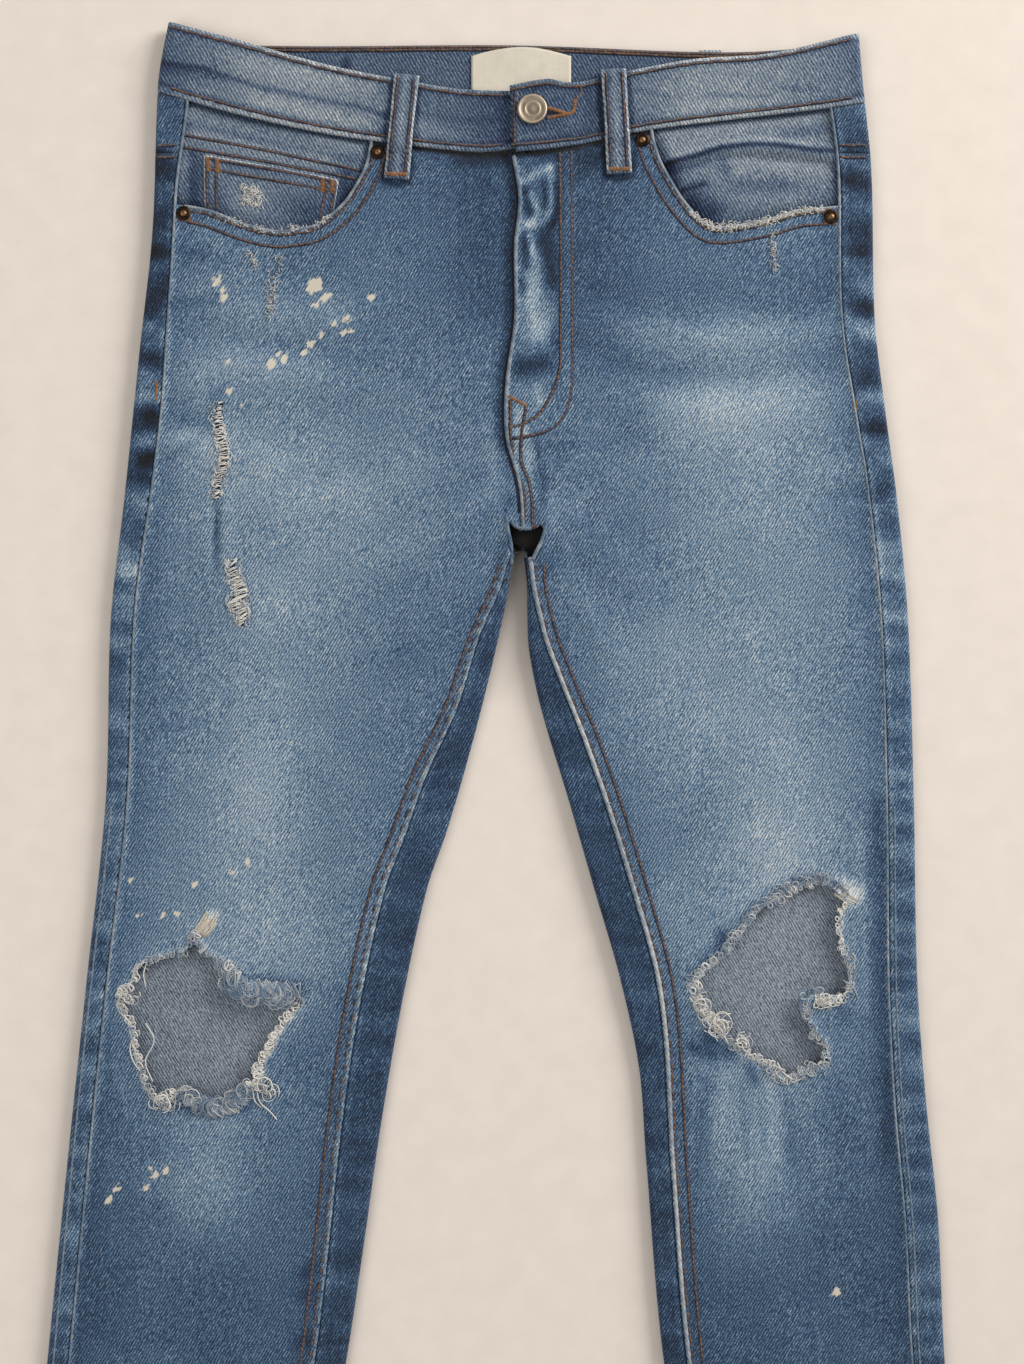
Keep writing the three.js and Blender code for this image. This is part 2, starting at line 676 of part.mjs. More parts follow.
for (const [name, side] of Object.entries({ right, left })) {
  add(`front_${name}`, front(name, side), denim);
  add(`back_${name}`, back(side), dark);
  add(`yoke_${name}`, yoke(side), dark);
  add(`pocket_facing_${name}`, plate(outlineOf(facings[name]), facingLow, facingLow + thinCloth), worn);
  add(`back_pocket_${name}`, plate(backPocket(side.sign), 0, cloth), denim);
}
add("waistband", buttonedWaistband(), worn);
add("coin_pocket", plate(outlineOf(coinPocket), coinLow, coinLow + thinCloth), denim);
for (const [name, size] of Object.entries(frontLoops)) add(name, frontLoop(size), worn);
for (const [name, x] of Object.entries(backLoops)) add(name, plate(backLoop(x), 0, loopCloth), worn);
add("fly_zip", flyZip(), brass);
add("waist_button", waistButton(), nickel);
for (const [name, [x, y]] of Object.entries(rivets)) add(name, rivet(x, y), brass);
add("waist_label", label(), cotton);

// The origin is at the middle of the garment's box, on the surface it lies on.
const box = new THREE.Box3().setFromObject(garment);
const middle = box.getCenter(new THREE.Vector3());
garment.position.set(-middle.x, -middle.y, -box.min.z);
const jeans = new THREE.Group();
jeans.add(garment);

export default jeans;
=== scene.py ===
# Ripped skinny jeans laid flat on their back: denim, stitching, frays and wear on the CAD frame.
# The garment is laid out in its own millimetres: x across (the wearer's right is negative), y up
# towards the waist, z up from the surface it lies on. place() takes that to the frame.
import bpy
import mathutils
import numpy as np
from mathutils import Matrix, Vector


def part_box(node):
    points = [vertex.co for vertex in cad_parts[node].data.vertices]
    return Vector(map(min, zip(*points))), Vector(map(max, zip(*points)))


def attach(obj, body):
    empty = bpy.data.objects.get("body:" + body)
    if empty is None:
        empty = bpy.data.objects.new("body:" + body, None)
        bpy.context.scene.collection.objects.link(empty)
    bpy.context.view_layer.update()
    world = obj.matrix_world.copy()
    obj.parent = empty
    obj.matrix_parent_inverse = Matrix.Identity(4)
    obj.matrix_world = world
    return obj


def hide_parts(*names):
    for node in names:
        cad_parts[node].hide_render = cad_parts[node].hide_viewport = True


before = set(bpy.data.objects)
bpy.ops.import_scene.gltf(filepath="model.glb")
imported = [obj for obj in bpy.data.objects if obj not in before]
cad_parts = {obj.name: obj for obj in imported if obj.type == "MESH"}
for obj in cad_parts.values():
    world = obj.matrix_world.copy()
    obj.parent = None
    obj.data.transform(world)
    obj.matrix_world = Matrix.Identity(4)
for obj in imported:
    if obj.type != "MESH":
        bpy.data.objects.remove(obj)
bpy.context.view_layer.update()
rng = np.random.default_rng(31)

buttonAt = (10, -38)  # where the button is in the garment's own layout
buttonLow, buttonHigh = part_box("waist_button")
origin = np.array([
    (buttonLow[0] + buttonHigh[0]) / 2 - 0.001 * buttonAt[0],
    (buttonLow[1] + buttonHigh[1]) / 2 - 0.001 * buttonAt[1],
    0,
])


def place(points):
    # from the garment's mm to the frame's metres
    return 0.001 * np.asarray(points, float) + origin


def ramp(value, start, end):
    # 0 at start, 1 at end, level at both
    t = np.clip((value - start) / (end - start), 0, 1)
    return t * t * (3 - 2 * t)


def bell(distance, width):
    # a Gaussian bump: 1 at distance 0, 0.37 at one width
    return np.exp(-((distance / width) ** 2))


def through(*knots):
    # the smooth curve through (at, value) knots: Hermite pieces with the slope between neighbours
    at, value = np.array(sorted(knots), float).T
    before = np.maximum(np.arange(len(at)) - 1, 0)
    after = np.minimum(np.arange(len(at)) + 1, len(at) - 1)
    slope = (value[after] - value[before]) / (at[after] - at[before])

    def curve(x):
        x = np.clip(x, at[0], at[-1])
        i = np.clip(np.searchsorted(at, x) - 1, 0, len(at) - 2)
        span = at[i + 1] - at[i]
        t = (x - at[i]) / span
        ends = (2 * t**3 - 3 * t**2 + 1) * value[i] + (3 * t**2 - 2 * t**3) * value[i + 1]
        return ends + span * ((t**3 - 2 * t**2 + t) * slope[i] + (t**3 - t**2) * slope[i + 1])

    return curve


def smoothLine(points, step=1.0, closed=False):
    # a Catmull-Rom curve through plan points, resampled evenly at about the step
    p = np.asarray(points, float)
    q = np.vstack([p[-1:], p, p[:2]]) if closed else np.vstack([2 * p[:1] - p[1:2], p, 2 * p[-1:] - p[-2:-1]])
    t = np.linspace(0, 1, 13)[:-1, None]
    spans = len(q) - 3
    a, b, c, d = (q[k:k + spans, None] for k in range(4))
    dense = 0.5 * (2 * b + (c - a) * t + (2 * a - 5 * b + 4 * c - d) * t**2 + (3 * b - a - 3 * c + d) * t**3)
    dense = np.vstack([dense.reshape(-1, p.shape[1]), q[-2:-1]])
    along = np.concatenate([[0], np.cumsum(np.linalg.norm(np.diff(dense, axis=0), axis=1))])
    count = max(2, int(round(along[-1] / step)))
    stops = np.linspace(0, along[-1], count + 1)
    line = np.stack([np.interp(stops, along, dense[:, k]) for k in range(p.shape[1])], axis=1)
    return line[:-1] if closed else line


def lineDistance(x, y, line, closed=False):
    # distance from plan points to a polyline, with the nearest point and the share of its length there
    line = np.asarray(line, float)
    ends = np.roll(line, -1, axis=0) if closed else line[1:]
    starts = line if closed else line[:-1]
    best = np.full(np.shape(x), np.inf)
    nearX, nearY, share = np.zeros(np.shape(x)), np.zeros(np.shape(x)), np.zeros(np.shape(x))
    for i, ((ax, ay), (bx, by)) in enumerate(zip(starts, ends)):
        t = np.clip(((x - ax) * (bx - ax) + (y - ay) * (by - ay)) / ((bx - ax) ** 2 + (by - ay) ** 2 + 1e-12), 0, 1)
        px, py = ax + t * (bx - ax), ay + t * (by - ay)
        d = np.hypot(x - px, y - py)
        closer = d < best
        best = np.where(closer, d, best)
        nearX, nearY = np.where(closer, px, nearX), np.where(closer, py, nearY)
        share = np.where(closer, (i + t) / len(starts), share)
    return best, nearX, nearY, share


def directions(line):
    # the unit tangent along a line and the normal to its left
    tangent = np.gradient(line, axis=0)
    tangent /= np.linalg.norm(tangent, axis=1, keepdims=True)
    return tangent, np.stack([-tangent[:, 1], tangent[:, 0]], axis=1)


def between(a, b):
    # the length, direction and left-hand normal of the straight line from a to b
    a, b = np.asarray(a, float), np.asarray(b, float)
    length = np.linalg.norm(b - a)
    along = (b - a) / length
    return length, along, np.array([-along[1], along[0]])


def inside(x, y, outline):
    # even-odd test against a closed outline
    within = np.zeros(np.shape(x), bool)
    for (ax, ay), (bx, by) in zip(outline, np.roll(outline, -1, axis=0)):
        crosses = (ay > y) != (by > y)
        within ^= crosses & (x < ax + (y - ay) * (bx - ax) / (by - ay + 1e-12))
    return within


class Side:
    # one half of the garment: x of its outer and inner folds at each height, and how wide a strip of the back
    # wraps over each
    pass


right, left = Side(), Side()
right.sign, right.name = -1, "right"
right.outer = through((15, 201), (-20, 207), (-106, 210.5), (-176, 218), (-263, 227), (-332, 235),
                      (-437, 238), (-541, 249), (-645, 260), (-764, 272), (-900, 285), (-1032, 291))
right.inner = through((-284, -4.5), (-297, 1), (-315, 3.5), (-350, 11), (-402, 24), (-454, 39), (-489, 51),
                      (-558, 66), (-628, 78), (-698, 88), (-764, 98), (-900, 123), (-1032, 152))
right.outStrip = through((0, 18), (-36, 17), (-90, 12), (-209, 16), (-300, 14), (-600, 12), (-1032, 15))
right.inStrip = through((-284, 0), (-310, 4), (-342, 11), (-384, 14), (-429, 22), (-556, 24), (-764, 18), (-1032, 16))
left.sign, left.name = 1, "left"
left.outer = through((8, 199.5), (-20, 202), (-71, 207), (-158, 209), (-210, 215), (-263, 222), (-332, 228.5),
                     (-437, 232), (-541, 234), (-611, 239), (-680, 246), (-764, 250), (-900, 262), (-1032, 268))
left.inner = through((-284, 4.5), (-297, 6.5), (-330, 7), (-350, 8), (-384, 15), (-437, 31), (-489, 46),
                     (-541, 61), (-593, 72), (-645, 76), (-764, 86.5), (-900, 110), (-1032, 131))
left.outStrip = through((0, 22), (-60, 19), (-155, 19), (-260, 16), (-493, 16), (-676, 19), (-1032, 16))
left.inStrip = through((-284, 0), (-310, 2), (-333, 6.6), (-366, 14), (-405, 19), (-529, 21), (-613, 14), (-1032, 14))

crotchY, seatFork, hemY, hemTilt, seatX = -284, -292, -1032, 8, 4.5
flyEdge = through((-60, -2), (-88, 2.5), (-115, 0), (-158, 0), (-195, -5), (-226, -5), (-255, 2.5), (crotchY, seatX))
bandUpper = {
    -1: through((-201, 14.5), (-165, 5), (-130, -5), (-100, -12.5), (-62, -20), (-30, -25), (30, -26.5)),
    1: through((-4, -24), (18, -20), (31, -22), (50, -18), (64, -14.5), (104, -7.5), (150, -3.8), (199.5, 7.8)),
    0: through((-201, 14.5), (-180, 7), (-150, 2), (0, 2), (120, -2), (170, 1), (199.5, 7.8)),
}
bandLower = {
    -1: through((-207, -26.4), (-161, -39.4), (-107, -51), (-62, -57.4), (-22, -61.4), (-6, -60.4), (12, -57),
                (30, -56.5)),
    1: through((-4, -62.4), (26, -59.4), (51, -54), (80, -48.2), (119, -43.2), (174, -37), (203.6, -32.5)),
    0: through((-207, -26.4), (-180, -30.5), (-140, -34.5), (0, -38), (120, -38), (203.6, -32.5)),
}

hips = dict(top=7.2, low=1.5)  # heights of the cloth's outside over the hips
legs = dict(top=6.0, low=0.05)  # and along the legs
seam = 0.15  # half the clearance between two panels


def slot(y):
    # the flattened tube's section at a level: flat on top and below, with a half circle at each fold
    top = legs["top"] + (hips["top"] - legs["top"]) * ramp(y, -400, -240)
    low = legs["low"] + (hips["low"] - legs["low"]) * ramp(y, -330, -262)
    return top, low, (top - low) / 2, (top + low) / 2


def foldPoint(y, out, inwards, travel):
    # going `travel` over the top from a fold's edge at `out`: a quarter turn, then flat
    top, low, radius, mid = slot(y)
    angle = np.clip(travel / radius, -np.pi / 2, np.pi / 2)
    beyond = np.maximum(np.abs(travel) - np.pi * radius / 2, 0)
    return out + inwards * (radius * (1 - np.cos(angle)) + beyond), mid + radius * np.sin(angle)


def travelTo(strip, radius):
    # how far the cloth goes over a fold to cover a strip of this width: along the arc, then along the flat
    bent = radius * np.arccos(np.clip(1 - strip / radius, -1, 1))
    return np.where(strip >= radius, np.pi * radius / 2 + strip - radius, bent)


def innerEdge(side, y, seamLine, layer, fork):
    # a panel's inner edge: the seam line above the fork, where the cloth turns towards it; the inseam below
    radius = slot(y)[2]
    below = travelTo(side.inStrip(y), radius) + layer * seam
    angle = np.pi / 2 * ramp(y, fork, fork + 22)
    above = layer * np.maximum(radius * angle, seam)
    out = np.where(y < fork, side.inner(y) + seam, seamLine + seam - radius * (1 - np.cos(angle)))
    return out, np.where(y < fork, below, above)


# each fold: its line, its half width and its height, all in mm; a trough has a height below 0
folds = [
    # right thigh and hip
    ([(-196, -136), (-160, -150), (-110, -156), (-60, -150)], 9, 0.9),
    ([(-197, -160), (-150, -172), (-95, -176)], 7, -0.8),
    ([(-200, -188), (-150, -186), (-100, -196), (-50, -200)], 8, 0.9),
    ([(-205, -226), (-175, -236), (-130, -240)], 9, 1.0), ([(-207, -208), (-180, -212), (-140, -214)], 6, -0.9),
    ([(-174.5, -262), (-174, -302)], 2.6, -1.3), ([(-168, -258), (-168, -304)], 4, 0.7),
    ([(-20, -262), (-50, -285), (-95, -300)], 9, 0.8), ([(-22, -300), (-60, -330), (-110, -352)], 12, 0.9),
    ([(-40, -240), (-90, -258), (-150, -262)], 10, 0.7),
    # left thigh and hip
    ([(30, -148), (90, -168), (150, -170), (200, -160)], 8, 0.9),
    ([(28, -170), (80, -190), (140, -192), (196, -182)], 7, -0.8),
    ([(34, -196), (90, -212), (150, -214), (205, -205)], 9, 0.9), ([(40, -226), (90, -240), (140, -244)], 9, -0.6),
    ([(20, -272), (50, -292), (84, -320)], 10, 0.8), ([(24, -300), (48, -340), (66, -372)], 9, 0.7),
    ([(212, -236), (190, -246), (160, -250)], 7, 0.9), ([(213, -262), (196, -260), (176, -262)], 5, -0.8),
    # legs
    ([(-150, -380), (-155, -470)], 22, 0.9), ([(146, -400), (150, -478)], 20, 1.0),
    ([(-60, -440), (-90, -500), (-105, -560)], 14, 0.7), ([(82, -480), (100, -540)], 12, 0.6),
    ([(-185, -640), (-182, -700)], 22, 0.8), ([(136, -625), (140, -690)], 18, 0.9),
    ([(110, -620), (116, -680)], 9, -0.7), ([(160, -618), (164, -668)], 8, -0.6),
    ([(-150, -622), (-156, -676)], 9, -0.6), ([(-205, -700), (-214, -800), (-222, -900)], 18, 0.8),
    ([(160, -720), (176, -820), (190, -930)], 16, 0.8), ([(-150, -780), (-180, -850)], 12, -0.6),
    ([(120, -800), (170, -850)], 12, -0.6),
]
rivets = {"rivet_right_inner": (-79.5, -61.5), "rivet_right_outer": (-192, -97),
          "rivet_left_inner": (73.7, -54.5), "rivet_left_outer": (183, -99)}  # their cloth stays level


def relief(x, y):
    # the sum of the folds, each a bell across its line that dies away towards both ends
    height = np.zeros(np.shape(x))
    for line, width, rise in folds:
        d, _, _, share = lineDistance(x, y, smoothLine(line, 12))
        height += rise * bell(d, width) * np.clip(np.sin(np.pi * share), 0, 1) ** 0.5
    for rx, ry in rivets.values():
        height *= 1 - bell(np.hypot(x - rx, y - ry), 9)
    # long slow swell of the cloth lying on cloth
    swell = 0.5 * np.sin(x / 23 + y / 61) + 0.4 * np.sin(x / 37 - y / 43 + 1.3) + 0.3 * np.sin(y / 29 + x / 80)
    return height + 0.35 * swell * ramp(y, -60, -120)


flyRow, flyFoot = 32.5, -196  # mm: the outer row of the fly's stitches, and where it turns in


def flyRelief(x, y):
    # the left front's doubled fly: raised from its edge to the row of stitches, with a soft step
    edge = flyEdge(y)
    width = np.where(y > flyFoot, flyRow - edge, 38 * np.sqrt(np.clip(1 - ((flyFoot - y) / 36) ** 2, 0, 1)))
    on = (1 - ramp(x - edge, width - 3, width + 2)) * ramp(y, -236, -226)
    rumple = 0.7 * np.sin(y / 7.5 + 0.6 * np.sin(y / 23)) * bell(x - edge - 11, 9)
    rumple = rumple + 0.5 * np.sin(y / 4.6 + 2) * bell(x - edge - 5, 5)
    return on * (1.3 + rumple * ramp(y, -60, -90))


def legTop(side, x, y):
    # the outside height of the upper cloth at a plan point, falling away at the folds
    top, low, radius, mid = slot(y)
    out = side.sign * x
    toInner = np.where(y < crotchY, out - side.inner(y), 1e3)
    near = np.clip(np.minimum(side.outer(y) - out, toInner), 0, radius)
    z = mid + np.sqrt(np.clip(radius**2 - (radius - near) ** 2, 0, None))
    z = z + relief(x, y) * ramp(near, 0, radius)
    return z + (flyRelief(x, y) if side is left else 0)


def spacing(length, edge, fine, count):
    # positions along rows of the given lengths: fine steps at both ends, even ones between
    k = np.arange(edge + 1) * fine
    middle = np.linspace(0, 1, count)[1:-1]
    length = np.asarray(length, float)
    return np.concatenate([
        np.broadcast_to(k, (len(length), edge + 1)),
        edge * fine + (length - 2 * edge * fine) * middle,
        length - k[::-1],
    ], axis=1)


def frontGrid(side, seamLine):
    # the front's rows run from the inner edge, over the flat top, to the outseam
    def section(y):
        out, start = innerEdge(side, y, seamLine(y), 1, crotchY)
        radius = slot(y)[2]
        return out, start, np.pi * radius / 2 + side.outer(y) - side.outStrip(y) - seam - out - radius

    def at(y):
        out, start, end = section(y[:, :1])
        share = spacing(end - start, 7, 1.1, 80) / (end - start)
        out, start, end = section(y)
        return foldPoint(y, out, 1, start + share * (end - start))

    return at


def backGrid(side):
    # the back's rows run from the outseam down round the outer fold, underneath, and up the inner fold
    steps = [np.linspace(0, 1, count)[:-1] for count in (12, 8, 24, 8)] + [np.linspace(0, 1, 18)]
    ends = np.cumsum([0] + [len(step) for step in steps])

    def pick(value, part):
        # the columns of one stretch, or the one column that serves them all
        return value if value.shape[1] == 1 else value[:, ends[part]:ends[part + 1]]

    def mix(a, b, part):
        return pick(a, part) + (pick(b, part) - pick(a, part)) * steps[part]

    def at(y):
        top, low, radius, mid = slot(y)
        quarter = np.pi * radius / 2
        outer = side.outer(y)
        strip = travelTo(side.outStrip(y), radius) - seam
        inner, end = innerEdge(side, y, side.sign * seatX + 0 * y, -1, seatFork)
        turnEnd = np.minimum(end, quarter)
        under = mix(outer - radius, inner + radius, 2)
        stretches = [
            foldPoint(pick(y, 0), pick(outer, 0), -1, mix(strip, quarter, 0)),
            foldPoint(pick(y, 1), pick(outer, 1), -1, mix(quarter, -quarter, 1)),
            (under, pick(low, 2) + 0 * under),
            foldPoint(pick(y, 3), pick(inner, 3), 1, mix(-quarter, turnEnd, 3)),
            foldPoint(pick(y, 4), pick(inner, 4), 1, mix(turnEnd, end, 4)),
        ]
        return tuple(np.hstack(values) for values in zip(*stretches))

    return at


def leanGrid(at, levels, topEdge, bottomEdge, topReach=60, bottomReach=200):
    # rows start level; near the top and bottom they lean to follow those edges
    first, last = levels[0], levels[-1]
    pullTop = ramp(levels, first - topReach, first)[:, None]
    pullBottom = 1 - ramp(levels, last, last + bottomReach)[:, None]
    y = levels[:, None]
    out, z = at(y)
    onTop = z > slot(y)[3]
    for _ in range(3):
        y = levels[:, None] + pullTop * (topEdge(out, onTop) - first) + pullBottom * (bottomEdge(out) - last)
        out, z = at(y)
    return out, y, z, onTop


def gridPoints(x, y, z):
    # a grid's coordinates as one list of points
    return np.stack([x, y, z], axis=-1).reshape(-1, 3)


def gridFaces(rows, columns, keep=None):
    # quads between the neighbours of a rows x columns grid
    i = np.arange((rows - 1) * columns).reshape(rows - 1, columns)[:, :-1].ravel()
    quads = np.stack([i, i + 1, i + columns + 1, i + columns], axis=1)
    return quads if keep is None else quads[keep(quads)]


def ringFaces(rows, around):
    # quads of a closed tube with its points in rings, and the polygons that end it
    i = (np.arange(rows - 1) * around)[:, None]
    k = np.arange(around)[None]
    n = (k + 1) % around
    quads = np.stack([i + k, i + k + around, i + n + around, i + n], axis=-1).reshape(-1, 4)
    return [quads, k, (rows - 1) * around + k[:, ::-1]]


def cutAway(x, y, outlines):
    # removes the cloth inside the outlines and draws the points just inside on to them; tells the
    # distance to the nearest cut
    gone, moved = np.zeros(x.shape, bool), np.zeros(x.shape, bool)
    newX, newY, nearest = x.copy(), y.copy(), np.full(x.shape, 1e3)
    for outline in outlines:
        low, high = outline.min(0) - 30, outline.max(0) + 30
        box = (x > low[0]) & (x < high[0]) & (y > low[1]) & (y < high[1])
        d, px, py, _ = lineDistance(x[box], y[box], outline, closed=True)
        within = np.zeros(x.shape, bool)
        within[box] = inside(x[box], y[box], outline)
        nearX, nearY = x.copy(), y.copy()
        nearX[box], nearY[box] = px, py
        distance = np.full(x.shape, 1e3)
        distance[box] = d
        padded = np.pad(within, 1, constant_values=True)
        rows, columns = x.shape
        outsideNear = np.zeros(x.shape, bool)
        for dr in (0, 1, 2):
            for dc in (0, 1, 2):
                outsideNear |= ~padded[dr:dr + rows, dc:dc + columns]
        rim = within & outsideNear
        newX, newY = np.where(rim, nearX, newX), np.where(rim, nearY, newY)
        gone |= within
        moved |= rim
        nearest = np.minimum(nearest, np.where(rim, 0, distance))
    lost = (gone & ~moved).ravel()
    flat = gone.ravel()

    def keep(quads):
        return ~lost[quads].any(1) & ~flat[quads].all(1)

    return newX, newY, nearest, keep


def makePiece(name, verts, faces, material, attributes=None, smooth=True):
    # verts in the garment's mm; faces a list of index arrays, each with its own number of corners
    used = np.zeros(len(verts), bool)
    for block in faces:
        used[block.ravel()] = True
    index = np.cumsum(used) - 1
    verts = place(verts[used])
    faces = [index[block] for block in faces if len(block)]
    mesh = bpy.data.meshes.new(name)
    mesh.vertices.add(len(verts))
    mesh.vertices.foreach_set("co", verts.astype(np.float32).ravel())
    corners = np.concatenate([block.ravel() for block in faces]).astype(np.int32)
    sizes = np.concatenate([np.full(len(block), block.shape[1]) for block in faces])
    mesh.loops.add(len(corners))
    mesh.loops.foreach_set("vertex_index", corners)
    mesh.polygons.add(len(sizes))
    mesh.polygons.foreach_set("loop_start", np.concatenate([[0], np.cumsum(sizes)[:-1]]).astype(np.int32))
    mesh.polygons.foreach_set("use_smooth", np.full(len(sizes), smooth))
    mesh.update(calc_edges=True)
    mesh.validate()
    for key, values in (attributes or {}).items():
        layer = mesh.attributes.new(key, "FLOAT", "POINT")
        layer.data.foreach_set("value", np.asarray(values, np.float32).ravel()[used])
    piece = bpy.data.objects.new(name, mesh)
    bpy.context.scene.collection.objects.link(piece)
    for m in (material if isinstance(material, (list, tuple)) else [material]):
        mesh.materials.append(m)
    return piece


def sheetArea(piece):
    # the sum of the faces' areas, in square metres
    areas = np.empty(len(piece.data.polygons), np.float32)
    piece.data.polygons.foreach_get("area", areas)
    return float(areas.sum())


def cloth(piece, node, flat, thickness=1.0, area=None):
    # gives a sheet its wall, thickness mm inwards, and hands it to the frame
    flatArea = area or min(sheetArea(piece), flat[0] * flat[1])
    if thickness:
        wall = piece.modifiers.new("wall", "SOLIDIFY")
        wall.thickness = 0.001 * thickness
        wall.offset = -1
        wall.use_even_offset = False
        wall.material_offset = 1 if len(piece.data.materials) > 1 else 0
    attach(piece, "root")
    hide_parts(node)


def tubes(lines, radius, sides=5, flat=1.0):
    # round threads along many lines at once: a ring of points square to the line at every stop.
    # lines is threads x stops x 3, radius a number or threads x stops; flat squashes them towards the cloth
    lines = np.asarray(lines, float)
    count, stops, _ = lines.shape
    tangent = np.gradient(lines, axis=1)
    tangent /= np.linalg.norm(tangent, axis=2, keepdims=True) + 1e-9
    helper = np.where(np.abs(tangent[..., 2:]) > 0.9, [1.0, 0, 0], [0, 0, 1.0])
    across = np.cross(tangent, helper)
    across /= np.linalg.norm(across, axis=2, keepdims=True) + 1e-9
    up = np.cross(across, tangent)
    angle = 2 * np.pi * np.arange(sides) / sides
    radius = np.broadcast_to(np.asarray(radius, float), (count, stops))[..., None, None]
    ring = np.cos(angle)[:, None] * across[:, :, None] + flat * np.sin(angle)[:, None] * up[:, :, None]
    verts = (lines[:, :, None] + radius * ring).reshape(-1, 3)
    base = (np.arange(count) * stops * sides)[:, None, None]
    stop = (np.arange(stops - 1) * sides)[None, :, None]
    k = np.arange(sides)[None, None, :]
    a = base + stop + k
    b = base + stop + (k + 1) % sides
    quads = np.stack([a, a + sides, b + sides, b], axis=-1).reshape(-1, 4)
    first = (base[:, 0] + np.arange(sides)[None]).reshape(count, sides)
    last = first + (stops - 1) * sides
    return verts, [quads, first, last[:, ::-1]]


def joinTubes(name, groups, material, key="tint", sides=4, flat=1.0):
    # one piece from groups of (lines, radius, values): a value for each thread, or for each stop of one
    verts, faces, values, offset = [], [], [], 0
    for lines, radius, value in groups:
        v, blocks = tubes(lines, radius, sides, flat)
        verts.append(v)
        faces += [block + offset for block in blocks]
        values.append(np.repeat(value, len(v) // len(value)))
        offset += len(v)
    piece = makePiece(name, np.vstack(verts), faces, material, {key: np.concatenate(values)})
    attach(piece, "root")


def spunProfile(profile, segments, x, y):
    # a profile of (radius, height) turned about the vertical through (x, y); its ends are on the axis
    profile = np.asarray(profile, float)
    angle = 2 * np.pi * np.arange(segments) / segments
    ring = profile[1:-1]
    verts = np.stack([
        x + ring[:, :1] * np.cos(angle), y + ring[:, :1] * np.sin(angle), np.repeat(ring[:, 1:], segments, 1),
    ], axis=-1).reshape(-1, 3)
    verts = np.vstack([verts, [[x, y, profile[0, 1]], [x, y, profile[-1, 1]]]])
    rows = len(ring)
    i = np.arange(segments)
    j = (i + 1) % segments
    r = (np.arange(rows - 1) * segments)[:, None]
    quads = np.stack([r + i, r + j, r + j + segments, r + i + segments], axis=-1).reshape(-1, 4)
    foot = np.stack([j, i, np.full(segments, rows * segments)], axis=1)
    top = (rows - 1) * segments
    crown = np.stack([top + i, top + j, np.full(segments, rows * segments + 1)], axis=1)
    return verts, [quads, foot, crown]


def linear(code):
    # sRGB hex to linear colour
    c = np.array([int(code[k:k + 2], 16) for k in (1, 3, 5)]) / 255
    return (*np.where(c <= 0.04045, c / 12.92, ((c + 0.055) / 1.055) ** 2.4), 1.0)


def addNode(tree, kind, settings=None, **links):
    # one node, with its settings and what feeds its sockets (a socket, or a plain value)
    node = tree.nodes.new(f"ShaderNode{kind}")
    for key, value in (settings or {}).items():
        setattr(node, key, value)
    for key, value in links.items():
        numbered = key[0] == "i" and key[1:].isdigit()
        socket = node.inputs[int(key[1:]) if numbered else key.replace("_", " ")]
        if isinstance(value, bpy.types.NodeSocket):
            tree.links.new(value, socket)
        else:
            socket.default_value = value
    return node


def newMaterial(name):
    # a material with its node tree and its shader
    material = bpy.data.materials.new(name)
    material.use_nodes = True
    tree = material.node_tree
    shader = next(n for n in tree.nodes if n.type == "BSDF_PRINCIPLED")
    return material, tree, shader


def maths(tree, operation, a, b=0.0, c=None):
    # one sum on sockets or numbers; MULTIPLY_ADD is a times b plus c
    extra = {} if c is None else {"i2": c}
    return addNode(tree, "Math", {"operation": operation}, i0=a, i1=b, **extra).outputs[0]


def shareOf(tree, a, b):
    # a + b, kept between 0 and 1
    return addNode(tree, "Math", {"operation": "ADD", "use_clamp": True}, i0=a, i1=b).outputs[0]


def attribute(tree, name):
    # the value a piece carries at each point under this name; 0 where it has none
    return addNode(tree, "Attribute", {"attribute_name": name}).outputs["Fac"]


def speckle(tree, coords, size, detail):
    # noise whose grains are about size mm
    return addNode(tree, "TexNoise", None, Vector=coords, Scale=1000 / size, Detail=detail).outputs["Fac"]


def waveScale(pitch):
    # a wave texture at scale 1 repeats every pi / 10 units; this makes that pitch mm
    return np.pi / 10 / (0.001 * pitch)


def mixColours(tree, share, low, high):
    # from the low colour to the high one by the share; each is a colour code or a socket
    low, high = (linear(colour) if isinstance(colour, str) else colour for colour in (low, high))
    return addNode(tree, "Mix", {"data_type": "RGBA"}, Factor=share, i6=low, i7=high).outputs[2]


def bump(tree, shader, strength, distance, height):
    # tilts the shading by the slope of a height that is `distance` mm from 0 to 1
    node = addNode(tree, "Bump", None, Strength=strength, Distance=0.001 * distance, Height=height)
    tree.links.new(node.outputs[0], shader.inputs["Normal"])


# washed indigo from the darkest cloth in the seams to bare white weft, by how far it is worn; its lowest stops, down
# to near black, serve as painted shade
indigo = [(-0.8, "#05070c"), (-0.25, "#12243c"), (0.0, "#203a58"), (0.2, "#2f4968"), (0.36, "#3d5978"),
          (0.45, "#496581"), (0.66, "#627d97"), (0.82, "#778fa4"), (1.0, "#92a4b2"), (1.3, "#b8c1c6"),
          (1.6, "#dedbd2")]
# the same for the greyer trim and for the cloth's inside; each lowest, near-black stop is painted shade
trimIndigo = [(-0.8, "#06080d"), (-0.25, "#152340"), (0.0, "#263a58"), (0.2, "#384c68"), (0.36, "#4a5e76"),
              (0.45, "#55687d"), (0.66, "#6c7b8a"), (0.82, "#7d8893"), (1.0, "#949ca3"), (1.3, "#b8bbbc"),
              (1.6, "#dedbd2")]
inner = [(-0.8, "#08090c"), (-0.25, "#222a38"), (0.0, "#434d5d"), (0.4, "#66717f"), (0.66, "#7d8998"),
         (0.9, "#929ca8"),
         (1.6, "#bbbfc4")]
